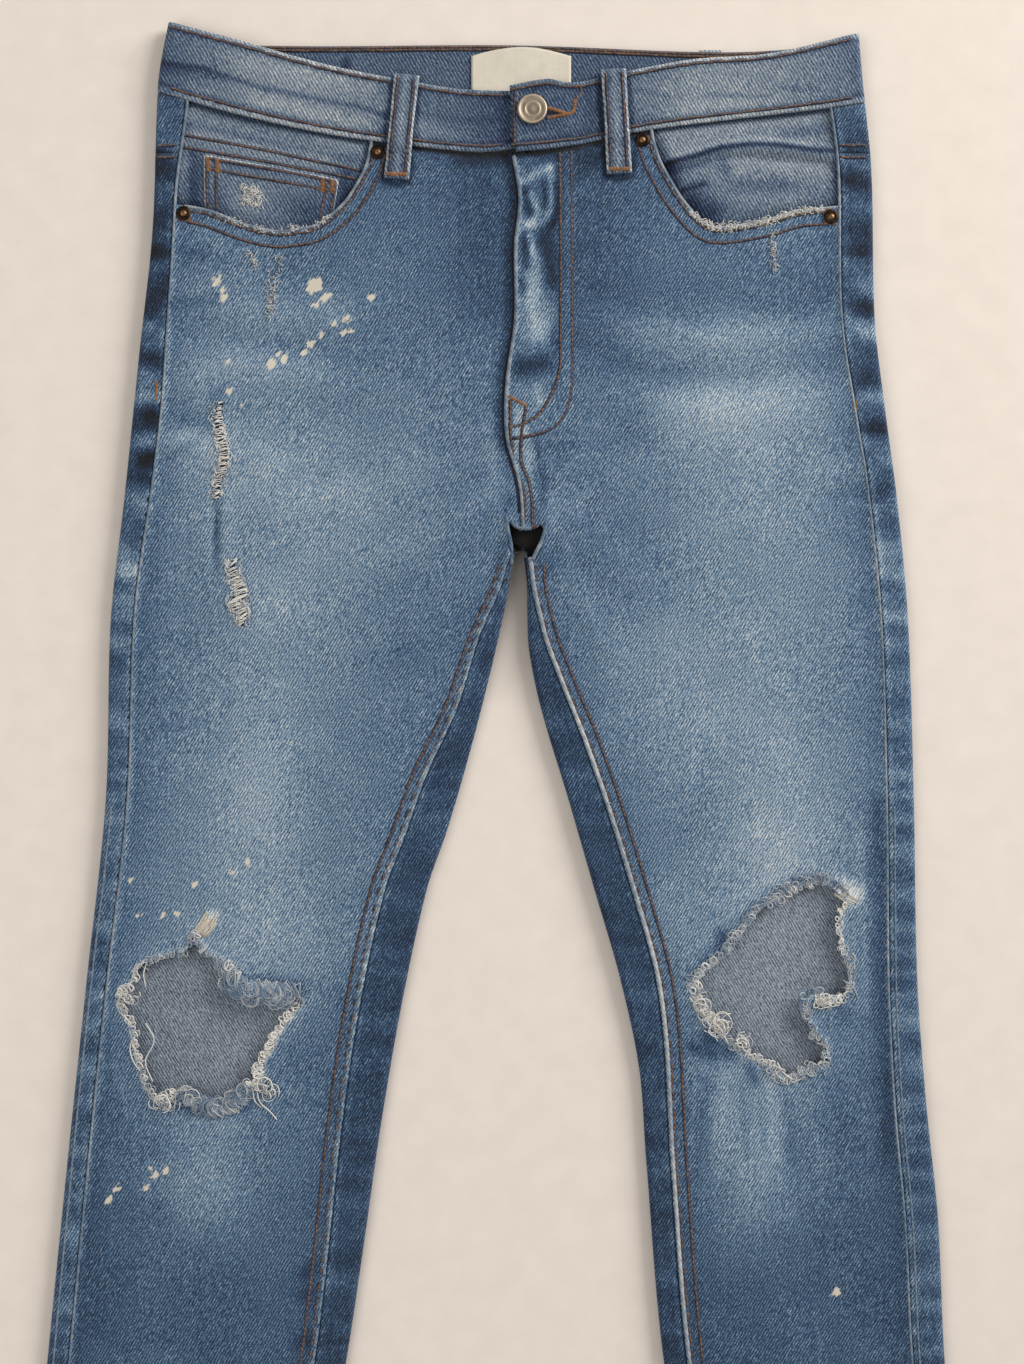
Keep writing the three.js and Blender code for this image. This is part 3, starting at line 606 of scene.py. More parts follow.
weave = {
    "pitch": 1.55,  # mm between the twill's lines; the real ones are 0.8 mm apart, too fine to show
    "lines": 0.6,  # how much the lines, the dashes, the knots, the streaks and the clouds change the tone
    "rib": (2.2, 0.62),  # mm along and across the dashes that break the lines up
    "knot": 0.62,  # mm, the salt and pepper of white weft showing through
    "ribDepth": 1.5, "knotDepth": 1.5, "streak": 0.2, "cloud": 0.26,
}
bleach = {"lean": 0.85, "stretch": 1.22}  # bleach creeps along the twill


def denimMaterial(name, shades=indigo, spots=(), twillTurn=1.05, grain=1.0, blotch=1.0, shaded=False, coarse=1.0):
    # stretch denim: indigo warp over white weft in a steep twill, washed and scraped pale
    material, tree, shader = newMaterial(name)
    coords = addNode(tree, "TexCoord").outputs["Object"]

    def turned(turn, scale=(1, 1, 1)):
        # the cloth's plane turned by an angle and divided by a scale
        return addNode(tree, "Mapping", {"vector_type": "TEXTURE"}, Vector=coords, Rotation=(0, 0, turn),
                       Scale=scale).outputs[0]

    def noiseAt(turn, along, across, detail=2.0, roughness=0.5):
        # noise whose grains are `along` mm by `across` mm, turned in the cloth's plane
        scaled = turned(turn, (0.001 * along, 0.001 * across, 0.001 * across))
        return addNode(tree, "TexNoise", None, Vector=scaled, Scale=1.0, Detail=detail,
                       Roughness=roughness).outputs["Fac"]

    twill = noiseAt(twillTurn, *weave["rib"], 1.0)
    lines = addNode(tree, "TexWave", {"bands_direction": "Y"}, Vector=turned(twillTurn), Distortion=2.0,
                    Scale=waveScale(coarse * weave["pitch"]), Detail=2.0, Detail_Scale=1.4).outputs["Fac"]
    salt = noiseAt(0.3, weave["knot"], weave["knot"], 1.0)
    streak = noiseAt(np.pi / 2, 46, 1.6, 2.0)
    cloud = noiseAt(0, 30, 22, 3.0, 0.55)
    tone = attribute(tree, "wearAndShade")
    for pattern, depth in ((lines, grain * weave["lines"]), (twill, grain * weave["ribDepth"]),
                           (salt, grain * weave["knotDepth"]), (streak, weave["streak"]),
                           (cloud, blotch * weave["cloud"])):
        tone = maths(tree, "MULTIPLY_ADD", maths(tree, "SUBTRACT", pattern, 0.5), depth, tone)
    # scraped ridges along the seams, broken up every few millimetres
    broken = maths(tree, "SMOOTH_MAX", maths(tree, "MULTIPLY_ADD", noiseAt(0, 5, 5), 3.2, -0.9), 0.1, 0.1)
    scrape = maths(tree, "MULTIPLY", attribute(tree, "ridge"), broken)
    tone = maths(tree, "MULTIPLY_ADD", scrape, 0.7, tone)
    # threads worn white towards a torn edge
    tone = maths(tree, "MULTIPLY_ADD", attribute(tree, "fray"), maths(tree, "MULTIPLY", salt, 1.6), tone)
    if spots:
        # bleach: the distance to each spot, ragged by noise, turned into a soft-edged blot
        ragged = maths(tree, "MULTIPLY", maths(tree, "SUBTRACT", noiseAt(0.9, 4.2, 2.0, 2.0), 0.5), 0.0075)
        blot = None
        leaning = turned(bleach["lean"], (bleach["stretch"], 1 / bleach["stretch"], 1))
        cos, sin = np.cos(bleach["lean"]), np.sin(bleach["lean"])
        for sx, sy, size in spots:
            cx, cy, _ = place([sx, sy, 0])
            along, across = (cos * cx + sin * cy) / bleach["stretch"], (cos * cy - sin * cx) * bleach["stretch"]
            d = addNode(tree, "VectorMath", {"operation": "MULTIPLY_ADD"}, i0=leaning, i1=(1, 1, 0),
                        i2=(-along, -across, 0)).outputs[0]
            d = addNode(tree, "VectorMath", {"operation": "LENGTH"}, i0=d).outputs["Value"]
            one = maths(tree, "SUBTRACT", 0.001 * size, maths(tree, "ADD", d, ragged))
            blot = one if blot is None else maths(tree, "MAXIMUM", blot, one)
        bleached = addNode(tree, "MapRange", {"interpolation_type": "SMOOTHSTEP"}, Value=blot, i1=-0.0007,
                           i2=0.0006).outputs[0]
    if shaded:
        # painted shade: the hollow under the crotch is darkened to black, as next to no light gets in
        tone = maths(tree, "MULTIPLY_ADD", attribute(tree, "shade"), -2.2, tone)
    low, high = shades[0][0], shades[-1][0]
    share = maths(tree, "MULTIPLY_ADD", tone, 1 / (high - low), -low / (high - low))
    rampNode = addNode(tree, "ValToRGB", None, Fac=share)
    stops = rampNode.color_ramp.elements
    while len(stops) < len(shades):
        stops.new(1.0)
    for stop, (at, code) in zip(stops, shades):
        stop.position = (at - low) / (high - low)
        stop.color = linear(code)
    colour = rampNode.outputs["Color"]
    if spots:
        colour = mixColours(tree, maths(tree, "MULTIPLY", bleached, 0.86), colour, "#d3cbba")
    tree.links.new(colour, shader.inputs["Base Color"])
    tree.links.new(maths(tree, "MULTIPLY_ADD", salt, 0.12, 0.84), shader.inputs["Roughness"])
    height = maths(tree, "ADD", maths(tree, "MULTIPLY", twill, 0.6), maths(tree, "MULTIPLY", salt, 0.5))
    height = maths(tree, "MULTIPLY_ADD", lines, 0.3, height)
    height = maths(tree, "MULTIPLY_ADD", streak, 0.5, height)
    height = maths(tree, "MULTIPLY_ADD", scrape, 0.8, height)
    bump(tree, shader, 0.55, 0.35, height)
    shader.inputs["Sheen Weight"].default_value = 0.12
    shader.inputs["Sheen Roughness"].default_value = 0.6
    shader.inputs["Specular IOR Level"].default_value = 0.25
    return material


def threadMaterial(name, dark, light, pitch=0.9):
    # spun cotton or polyester thread: a twisted ply that shades every pitch mm, tinted along its length
    material, tree, shader = newMaterial(name)
    coords = addNode(tree, "TexCoord").outputs["Object"]
    ply, patch = speckle(tree, coords, pitch, 2.0), speckle(tree, coords, 11, 1.0)
    share = maths(tree, "MULTIPLY_ADD", ply, 0.5, maths(tree, "MULTIPLY_ADD", patch, 0.5, -0.5))
    share = shareOf(tree, share, attribute(tree, "tint"))
    tree.links.new(mixColours(tree, share, dark, light), shader.inputs["Base Color"])
    bump(tree, shader, 0.5, 0.1, ply)
    shader.inputs["Roughness"].default_value = 0.75
    shader.inputs["Sheen Weight"].default_value = 0.2
    return material


def metalMaterial(name, bright, dull, roughness, wearSize):
    # plated metal: polished where it is rubbed, darker and duller in the hollows and scratches
    material, tree, shader = newMaterial(name)
    blotch = speckle(tree, addNode(tree, "TexCoord").outputs["Object"], wearSize, 4.0)
    rubbed = maths(tree, "SUBTRACT", attribute(tree, "tint"), 0.4)
    share = shareOf(tree, maths(tree, "MULTIPLY_ADD", blotch, 0.8, rubbed), 0.0)
    tree.links.new(mixColours(tree, share, dull, bright), shader.inputs["Base Color"])
    tree.links.new(maths(tree, "MULTIPLY_ADD", blotch, 0.25, roughness - 0.1), shader.inputs["Roughness"])
    bump(tree, shader, 0.25, 0.1, blotch)
    shader.inputs["Metallic"].default_value = 1.0
    return material


def cottonMaterial(name, pitch=0.69052):
    # unbleached cotton tape, plain woven: cream, with its threads crossing square every pitch mm
    material, tree, shader = newMaterial(name)
    coords = addNode(tree, "TexCoord").outputs["Object"]
    warp, weft = (addNode(tree, "TexWave", {"bands_direction": axis}, Vector=coords, Scale=waveScale(pitch),
                          Distortion=1.2).outputs["Fac"] for axis in "XY")
    cross = maths(tree, "MULTIPLY", warp, weft)
    share = maths(tree, "MULTIPLY_ADD", speckle(tree, coords, 100 / 9, 4.0), 0.8,
                  maths(tree, "MULTIPLY", cross, 0.35))
    tree.links.new(mixColours(tree, share, "#b9b3a4", "#e2dccf"), shader.inputs["Base Color"])
    bump(tree, shader, 0.4, 0.2, cross)
    shader.inputs["Roughness"].default_value = 0.92
    return material


# bleach spots on the fronts: x, y and radius in mm
bleachSpots = [
    (-173, -136, 2.6), (-169.5, -142, 1.8), (-168, -146, 2.2), (-116, -138.5, 4.6), (-109, -146, 2.6),
    (-116, -150, 1.8),
    (-83, -145, 1.5), (-112.5, -166.5, 1.7), (-104, -160, 1.7), (-97, -158, 1.9), (-99, -166, 1.4),
    (-94.5, -165, 1.4),
    (-118, -172, 1.9), (-122, -177.5, 1.8), (-133.5, -181, 2.2), (-141, -184.5, 3.0), (-137, -178, 1.4),
    (-166, -183, 1.5), (-166, -200, 1.3), (-158, -208, 1.4), (-155, -473, 1.6), (-163.5, -478, 1.4),
    (-186, -485.5, 1.7), (-223, -483, 1.4), (-218.5, -504, 1.3), (-204, -504, 1.4), (-195.5, -503, 1.3),
    (-202.5, -651, 2.0), (-209, -654, 1.7), (-211.5, -650.5, 1.2), (-214, -661, 1.6), (-231, -662, 1.6),
    (-235.5, -669, 1.9),
]
leftSpots = [(186, -722.5, 2.3)]
# denim for each kind of panel, then threads, metals and tape
denimRight = denimMaterial("washed stretch denim, right front", spots=bleachSpots)
denimLeft = denimMaterial("washed stretch denim, left front", spots=leftSpots)
denimBack = denimMaterial("washed stretch denim, back", blotch=2.2)
denimTrim = denimMaterial("washed stretch denim, trim", shades=trimIndigo, twillTurn=-1.05, grain=0.95, coarse=1.2)
denimRolled = denimMaterial("washed stretch denim, rolled edges", shades=trimIndigo, twillTurn=-1.05, grain=0.35)
denimInside = denimMaterial("inside of stretch denim", shades=inner, twillTurn=2.1, grain=1.1, shaded=True)
brownThread = threadMaterial("brown topstitch polyester", "#241c1c", "#7e5a3c")
tanThread = threadMaterial("tan topstitch polyester", "#5e3b1e", "#a9743c")
paleThread = threadMaterial("frayed cotton weft", "#55708c", "#dcdad4")
creamWeft = threadMaterial("bare cotton weft", "#8f8b80", "#d2cbbb")
nickel = metalMaterial("nickel plate", "#c6b9a6", "#85796a", 0.55, 3.0)
bronze = metalMaterial("darkened brass", "#8a6a48", "#2b2320", 0.42, 1.5)
labelCotton = cottonMaterial("label cotton")
print("materials ready")


def stroke(x, y, line, width, amount):
    # a bell across a line
    return amount * bell(lineDistance(x, y, line)[0], width)


# worn strokes and painted shade on the fronts, pale rubbed places and fold crests with dark painted shade in creases,
# under the band, round the loops' feet and along the rips' edges: the line, its half width in mm, how much paler
# (above 0) or darker it is
fadesAndShade = {
    "right": [
        ([(-172.8, -259), (-173.4, -284), (-173, -303)], 1.2, -0.38), ([(-170.4, -262), (-171, -292)], 2.6, -0.1),
        ([(-175.6, -256), (-176, -302)], 1.4, 0.14), ([(-160, -303), (-155, -318), (-153.6, -334)], 1.6, -0.2),
        ([(-171, -200), (-174, -206)], 4, -0.2), ([(-182, -511.5), (-175, -503.5)], 3.2, 0.55),
        ([(-186.2, -514), (-185.4, -522)], 1.6, -1.1), ([(-166, -543), (-150, -545), (-126, -546)], 5.5, -0.5),
        ([(-196, -612), (-180, -615), (-158, -614)], 5.0, -0.45), ([(-190, -119), (-180, -121)], 4, -0.22),
        ([(-192, -217), (-176, -219)], 5, -0.28), ([(-197, -228), (-190, -224)], 5, 0.2),
        ([(-198, -236), (-188, -232)], 4, -0.2), ([(-196, -150), (-176, -146)], 5, -0.2),
        ([(-34, -66), (-2, -64)], 5, -0.4), ([(-130, -360), (-120, -420)], 40, -0.05),
        ([(-14, -220), (-12, -244), (-18, -262)], 5, 0.14), ([(-9, -262), (-11, -284), (-14, -300)], 4, 0.16),
        ([(-2.5, -262), (-6, -272)], 3, -0.2), ([(-24, -246), (-16, -252)], 4, -0.16),
        ([(-118, -707), (-122, -712)], 4, -0.35), ([(-119, -722), (-124, -724)], 3, -0.35),
        ([(-121, -750), (-125, -752)], 4, -0.35),
        ([(-75.6, -62), (-76.6, -78), (-69, -80), (-61, -79), (-60.2, -64)], 1.5, -0.7),
        ([(-140, -330), (-146, -400), (-155, -470), (-148, -505)], 42, 0.3),
        ([(-160, -238), (-100, -262)], 52, 0.28), ([(-195, -146), (-110, -156)], 18, 0.14),
        ([(-195, -184), (-118, -186)], 15, 0.13), ([(-18, -60), (-14, -150)], 20, -0.22),
        ([(-177, -622), (-180, -663)], 36, 0.30), ([(-136, -512), (-120, -530)], 26, 0.1),
        ([(-60, -85), (-40, -130)], 46, -0.08), ([(-30, -290), (-60, -340)], 26, -0.1),
        ([(-190, -110), (-150, -118)], 14, 0.14), ([(-30, -200), (-60, -215)], 30, 0.03),
        ([(-100, -800), (-180, -1000)], 60, 0.04),
    ],
    "left": [
        ([(130, -222), (132, -320), (125, -379), (146, -437), (146, -485)], 55, 0.36),
        ([(143, -462), (150, -480)], 24, 0.14), ([(84, -332), (98, -390)], 32, 0.12),
        ([(60, -146), (160, -148)], 20, -0.12), ([(48, -70), (34, -130)], 34, -0.2),
        ([(136, -612), (136, -657)], 34, 0.34), ([(70, -165), (190, -160)], 10, 0.12),
        ([(60, -184), (140, -190)], 7, -0.08), ([(90, -206), (200, -196)], 9, 0.12),
        ([(52, -180), (70, -206)], 18, -0.14), ([(40, -285), (70, -310)], 22, -0.1),
        ([(150, -112), (190, -120)], 16, 0.06), ([(5, -79), (13, -74), (20, -70)], 2.6, 0.5),
        ([(20.5, -71), (21.8, -86), (20.6, -96), (16, -102.5)], 2.2, 0.56),
        ([(23.6, -80), (24.4, -95), (21.9, -104)], 1.9, -0.7),
        ([(9.2, -86.5), (13.2, -95), (11.5, -102), (7.5, -104)], 2.0, 0.59), ([(5, -83), (6, -86)], 2.4, -0.59),
        ([(7.4, -92), (8, -97)], 2.4, -0.56), ([(17, -80), (17.4, -93)], 2.0, -0.5),
        ([(5, -101), (13, -105)], 3.6, 0.42), ([(8.4, -110), (11, -121)], 1.6, 0.87),
        ([(5.6, -112), (7, -128)], 2.6, -0.59), ([(17, -106), (19, -120), (21, -137)], 5, -0.59),
        ([(11.6, -127), (10.6, -147), (13.5, -166)], 6.5, 0.56), ([(4.2, -137), (4.4, -142)], 2.6, -0.48),
        ([(20, -150), (22, -166)], 4, 0.14), ([(3, -186), (17, -184)], 6, -0.63),
        ([(22, -166), (24, -173)], 3, -0.48), ([(13, -199), (15, -207)], 4, 0.39), ([(3, -212), (2, -234)], 4, 0.39),
        ([(20, -262), (24, -276), (30, -292)], 4, 0.16), ([(16, -250), (18, -262)], 4, -0.14),
        ([(8, -236), (9, -262)], 2.4, 0.16), ([(6.5, -222), (7, -244)], 3, 0.2),
        ([(13, -228), (16, -246), (17, -262)], 2.2, -0.24), ([(120, -300), (122, -440)], 46, -0.13),
        ([(192, -486), (199, -489)], 5, 0.4), ([(103, -580), (114, -585)], 3.5, -0.45),
        ([(136, -591), (139, -600)], 3, -0.4), ([(111, -600), (106, -655)], 4, -0.14),
        ([(122, -598), (118, -655)], 3.4, 0.14), ([(133, -600), (134, -642)], 3, -0.15),
        ([(147, -600), (151, -642)], 4, 0.13), ([(157, -608), (161, -648)], 3, -0.15),
        ([(172, -610), (178, -650)], 4, 0.08), ([(178, -582), (196, -640)], 5, -0.08),
        ([(119, -513), (122, -527)], 3.4, -0.3), ([(142, -596), (146, -640)], 4, -0.1),
        ([(210, -440), (212, -500), (214, -560), (217, -640)], 6, -0.28),
        ([(201, -455), (202.5, -500), (204, -560)], 1.6, 0.12), ([(25, -66), (26, -100)], 3, -0.2),
        ([(34, -66), (58, -62)], 4, -0.3),
        ([(52.2, -58), (52.8, -75), (60, -77), (68.4, -75), (69, -60)], 1.5, -0.7),
        ([(30, -160), (37, -172)], 4, -0.16), ([(20, -232), (34, -229)], 4, -0.14),
        ([(22, -262), (34, -268)], 7, 0.14), ([(189, -488), (198, -493)], 3.6, 0.5),
        ([(106, -534), (124, -513), (141, -494), (158, -484), (176, -481.5)], 3.4, -0.3),
        ([(112, -575), (124, -584)], 4.5, -0.4), ([(188, -556), (192, -562)], 4, -0.24),
        ([(34, -76), (44, -68), (52, -64)], 5, -0.2), ([(16, -64), (24, -66)], 4, -0.2),
    ],
}


def wearAndShadeAt(side, x, y):
    # a long fade down the thigh and shin over a base that darkens towards the ankle and the seams, with the worn
    # strokes and painted shade of fadesAndShade on top
    base = through((0, 0.46), (-90, 0.42), (-160, 0.5), (-300, 0.52), (-520, 0.52), (-620, 0.42), (-690, 0.3),
                   (-764, 0.24), (-900, 0.22), (-1010, 0.24), (-1032, 0.3))(y)
    for line, width, amount in fadesAndShade[side.name]:
        base = base + stroke(x, y, line, width, amount)
    out = side.sign * x
    fromSeam = side.outer(y) - side.outStrip(y) - out
    fromInner = np.where(y < crotchY, out - side.inner(y) - side.inStrip(y), 1e3)
    return base - 0.07 - 0.16 * bell(fromSeam, 14) - 0.14 * bell(fromInner, 14)


# outlines of the knee rips, then the edges of the pocket scoops and what is cut away above them
kneeRips = {
    "right": [
        (-186.4, -513), (-182.7, -520), (-173.4, -528.7), (-166.5, -534), (-167.5, -542), (-157, -550.5),
        (-140, -552.5),
        (-123, -553),
        (-132.8, -566), (-140.4, -579), (-145.7, -590), (-148.5, -602.6), (-157.8, -605.5), (-165.3, -611),
        (-178, -613), (-187.3, -608), (-195.6, -607), (-206.7, -612), (-216, -598), (-219.8, -584), (-222.4, -569),
        (-229, -557), (-229, -546), (-222.4, -543.5), (-218.8, -533), (-209.5, -528.7), (-196.6, -525), (-191, -523),
    ],
    "left": [
        (158.3, -488.4), (172.3, -484.9), (182, -486.6), (192, -495.3), (189.3, -501.7), (188.5, -511.6),
        (190.2, -523), (193.7, -533.6), (193.3, -542.6), (191, -549.7), (179.6, -550.4), (169.8, -550.4),
        (169.8, -556.8), (172.3, -565.5), (175.2, -573.6), (180.4, -578), (181.4, -590.4), (169.8, -591.5),
        (158.3, -597), (151, -593.5), (144, -589.5), (137.5, -586.5), (131, -583), (124.8, -577.5), (118, -571),
        (109.6, -562), (104.5, -556), (103.2, -549.7), (103.2, -544.3), (113.7, -532.8),
        (125.3, -523), (131.7, -513.3), (143, -499), (153.7, -493.6),
    ],
}
ripLines = {name: smoothLine(points, 1.0, closed=True) for name, points in kneeRips.items()}
for line in ripLines.values():
    line += 0.45 * np.stack([np.sin(line[:, 1] * 1.9), np.sin(line[:, 0] * 2.3)], axis=1)
scoopEdges = {
    "right": [(-82.7, -52), (-84.5, -63), (-88.2, -73.7), (-99, -90.8), (-114.6, -103.2), (-127, -106.3),
              (-139.4, -107.1),
              (-156.5, -103.2), (-176.7, -95.5), (-192.2, -92.4), (-199, -91.5)],
    "left": [(78.5, -44), (80.5, -56), (85.3, -69), (96.3, -87.6), (108.5, -101.5), (119.5, -105), (142.7, -101.5),
             (163, -95.7), (178.6, -94), (189, -93)],
}
scoopLines = {name: smoothLine(points, 1.5) for name, points in scoopEdges.items()}
scoopCuts = {
    "right": np.vstack([scoopLines["right"], [(-214, -91.5), (-214, 20), (-83, 20)]]),
    "left": np.vstack([scoopLines["left"], [(212, -93), (212, 20), (78.5, 20)]]),
}


# the hollow under the crotch seam, where the fronts stand open over the seat
hollow = smoothLine([(-4.5, -272.5), (1.5, -279.3), (9.5, -280.2), (17.7, -276.2), (15.5, -285), (12, -295),
                     (-1.8, -295),
                     (-3.6, -284)], 1.2, closed=True)


levelsDown = np.concatenate([
    np.arange(-62, -130, -2.0), np.arange(-130, -262, -3.0), np.arange(-262, -296, -1.5), np.arange(-296, -480, -3.2),
    np.arange(-480, -620, -2.6), np.arange(-620, -770, -3.2), np.arange(-770, -1012, -5.5), np.arange(-1012, hemY,
                                                                                                      -2.0),
    [hemY],
])
yokeLevels = np.linspace(-32, -62, 14)


def bottomOf(side):
    # the hem, tilted from its inner corner to its outer one
    low, high = side.inner(hemY), side.outer(hemY)
    return lambda out: hemY + hemTilt * (2 * (out - low) / (high - low) - 1)


def yokeSeam(out, onTop):
    # level where it shows in front, slanting down to the middle of the back
    return np.where(onTop, -62, -104 + 42 * np.clip(out / 205, 0, 1))


def ridgeAt(y, seamDistance, phase):
    # scraped ridge over a seam's bulk: strongest just beside it, with puckers every 7 mm
    return bell(seamDistance - 1.6, 1.7) * (0.75 + 0.25 * np.sin(y / 1.15 + phase))


def pucker(y, seamDistance, phase):
    # small waves that the stitches pull into the cloth beside a seam
    wave = np.sin(y / 1.25 + phase + 1.5 * np.sin(y / 9.0 + phase))
    return 0.32 * wave * bell(seamDistance - 2.5, 4.5)


def panelFaces(side, x, keep=None):
    # the grid's quads, wound so that both halves of the garment face outwards
    quads = gridFaces(*x.shape, keep=keep)
    return quads[:, ::-1] if side is left else quads


def buildFront(side):
    # one front leg: its grid cut for the rip, the scoop and the hollow, with folds and raised seams on it
    seamLine = flyEdge if side is left else (lambda y: -flyEdge(y) - 8 * ramp(y, -228, -205))
    out, y, z, _ = leanGrid(frontGrid(side, seamLine), levelsDown,
                            lambda out, onTop: bandLower[side.sign](side.sign * out) - 0.3, bottomOf(side))
    x = side.sign * out
    y = np.broadcast_to(y, x.shape).copy()
    x, y, toCut, keep = cutAway(x, y, [ripLines[side.name], scoopCuts[side.name], hollow])
    out = side.sign * x
    fromOut = side.outer(y) - side.outStrip(y) - out
    fromIn = np.where(y < crotchY - 6, out - side.inner(y) - side.inStrip(y), 1e3)
    z = z + relief(x, y) + (flyRelief(x, y) if side is left else 0)
    z = z + 0.5 * bell(fromOut - 1.2, 1.8) + 0.9 * bell(fromIn - 1.2, 2.0)
    z = z + pucker(y, fromOut, 0.4) + pucker(y, fromIn, 1.9)
    fromFly = x - flyEdge(y) if side is left else np.full(x.shape, 1e3)
    lips = lineDistance(x, y, hollow, closed=True)[0]
    z = z + 1.5 * bell(lips, 5) * ramp(np.abs(x - 6.5), 5, 11)
    nearRip = lineDistance(x, y, ripLines[side.name][::3], closed=True)[0]
    z = z + 0.9 * bell(nearRip, 5.0) * (0.6 + 0.4 * np.sin(x / 2.1 + y / 2.6))
    z = z + 0.4 * bell(toCut, 2.2) * np.sin(x / 1.1 - y / 1.3)
    waist = bandLower[side.sign](x) - y
    z = z - 1.7 * bell(waist, 3)
    flyShadow = x - flyEdge(y) + 3.4 if side is right else 1e3
    mouth = lineDistance(x, y, scoopLines[side.name])[0]
    # rubbing and painted shade: fold crests paler and troughs darker, partly rubbed and partly painted shading; paler
    # round the rips; painted shadow under the waistband's lower edge and beside the fly's edge; darker round the
    # hollow's lips
    wearAndShade = wearAndShadeAt(side, x, y) + 0.09 * np.clip(relief(x, y), -1.4, 1.4)
    wearAndShade = wearAndShade + 0.1 * bell(nearRip, 12) * ramp(y, -640, -560) - 0.9 * bell(waist, 1.9) - 0.3 * bell(waist, 5)
    wearAndShade = wearAndShade - 0.45 * bell(flyShadow, 3.2) * ramp(y, -262, -225) - 0.12 * bell(lips - 9, 5)
    attributes = {
        "wearAndShade": wearAndShade,
        "ridge": np.maximum.reduce([ridgeAt(y, fromIn, 0.0), 0.55 * ridgeAt(y, fromOut, 1.0), 0.8 * bell(mouth, 1.5),
                                    0.9 * bell(fromFly - 0.8, 1.3)]),
        "fray": 0.34 * bell(nearRip, 1.8),
    }
    material = denimLeft if side is left else denimRight
    piece = makePiece(f"front_{side.name}_cloth", gridPoints(x, y, z), [panelFaces(side, x, keep)],
                      [material, denimInside], attributes)
    cloth(piece, f"front_{side.name}", (0.27, 0.995))


# dark painted shade in the creases and pale rubbed folds across the strips of the back that show in front
stripBlots = {
    "right": [((-209, -119), 6, -0.65), ((-212, -128.5), 5, 0.39), ((-207, -144), 6, -0.65), ((-211, -151), 5, -0.52),
              ((-212, -161.5), 4, 0.26), ((-212, -168), 4, -0.45), ((-210, -182.5), 4, -0.26),
              ((-212, -191), 5, 0.16), ((-212, -214), 6, -0.91), ((-204, -216), 6, -0.65), ((-213, -228), 5, 0.44),
              ((-214, -240), 4.5, -1.04), ((-206, -239), 5, -0.65), ((-216, -251), 6, -0.39),
              ((-206, -62), 4, -0.45), ((-206, -74), 8, -0.26),
              ((-208, -102), 6, -0.39), ((-207, -90), 5, 0.26), ((-222, -288), 5, -0.33), ((-224, -302), 5, 0.26)],
    "left": [((196, -78), 5, -0.26), ((198, -98), 6, 0.26), ((200, -118), 6, -0.39), ((201, -136), 5, 0.29),
             ((204, -152), 5, -0.52), ((204, -168), 5, 0.33), ((206, -190), 5, -0.45), ((207, -204), 5, 0.26),
             ((209, -220), 6, -0.52), ((212, -240), 6, 0.26), ((214, -258), 5, -0.39), ((194, -60), 4, -0.26)],
}


def backAttributes(side, x, y, z, fromOut, fromIn):
    # tone of the backs, worn and painted shade: dark roped strips in front, those beside the inseam darker still as
    # painted shade, a flatter tone with seat and knee fading underneath, and painted black shade in the hollow under
    # the crotch
    tone = through((0, 0.3), (-120, 0.24), (-300, 0.3), (-480, 0.33), (-600, 0.26), (-700, 0.2), (-1032, 0.15))(y)
    out = side.sign * x
    nearInner = (out < (side.inner(y) + side.outer(y)) / 2) & (z > slot(y)[3])
    # painted shade: the strips beside the inseam are darker
    tone = tone - np.where(nearInner, 0.12, 0)
    roping = 0.2 * np.sin(y / 5.1 + 1.6 * np.sin(y / 13) + 0.1 * x) + 0.16 * np.sin(y / 12.7 + 2.1 * np.sin(y / 31))
    tone = tone + roping * np.where(nearInner, 0.3, 0.35 + 0.65 * ramp(y, -420, -250))
    for (bx, by), width, amount in stripBlots[side.name]:
        tone = tone + 1.15 * amount * bell(np.hypot((x - bx) / 1.6, y - by), width)
    # darker still: the strips beside the inseam, as painted shade, and the outer ones over the hips
    tone = tone - np.where(nearInner, 0.22 - 0.1 * ramp(-y, 500, 700), 0.14 * ramp(y, -320, -120))
    # the puckers that the felled seam pulls across the strip
    tone = tone + 0.13 * np.sin(y / 2.7 + 2.4 * np.sin(y / 17)) * np.where(nearInner, 0.5, 1) * ramp(-y, 90, 140)
    under = z < slot(y)[3]
    seat = 0.22 * bell(np.hypot((out - 110) / 70, (y + 220) / 90), 1)
    seat = seat + 0.16 * bell(np.hypot((out - 150) / 50, (y + 480) / 160), 1)
    tone = np.where(under, 0.42 + seat - 0.16 * ramp(y, -560, -760), tone)
    return {
        "wearAndShade": tone,
        "ridge": 0.5 * np.maximum(ridgeAt(y, fromIn, 2.0), ridgeAt(y, fromOut, 3.0)),
        # painted shade: black in the hollow under the crotch, used by the inside's material
        "shade": 1 - ramp(np.hypot((x - 6.5) / 15, (y + 284) / 13), 0.8, 1.25),
    }


def finishBack(side, node, out, y, z, flat):
    # folds and raised seams show on the upper side only; underneath the cloth is pressed flat
    x = side.sign * out
    y = np.broadcast_to(y, x.shape).copy()
    top, low, radius, mid = slot(y)
    onTop = z > mid
    outer = out > 60 + side.inner(y)
    fromOut = np.where(onTop & outer, out - side.outer(y) + side.outStrip(y), 1e3)
    inner = (out < 60 + side.inner(y)) & (y < crotchY - 6)
    fromIn = np.where(onTop & inner, side.inner(y) + side.inStrip(y) - out, 1e3)
    z = z + relief(x, y) * ramp((z - mid) / radius, 0.1, 1.0)
    z = z + 0.35 * bell(fromOut - 1.2, 1.6) + 0.35 * bell(fromIn - 1.2, 1.6)
    z = z + pucker(y, fromOut, 0.4) + 0.5 * pucker(y, fromIn, 1.9)
    piece = makePiece(f"{node}_cloth", gridPoints(x, y, z), [panelFaces(side, x)], [denimBack, denimInside],
                      backAttributes(side, x, y, z, fromOut, fromIn))
    cloth(piece, node, flat)


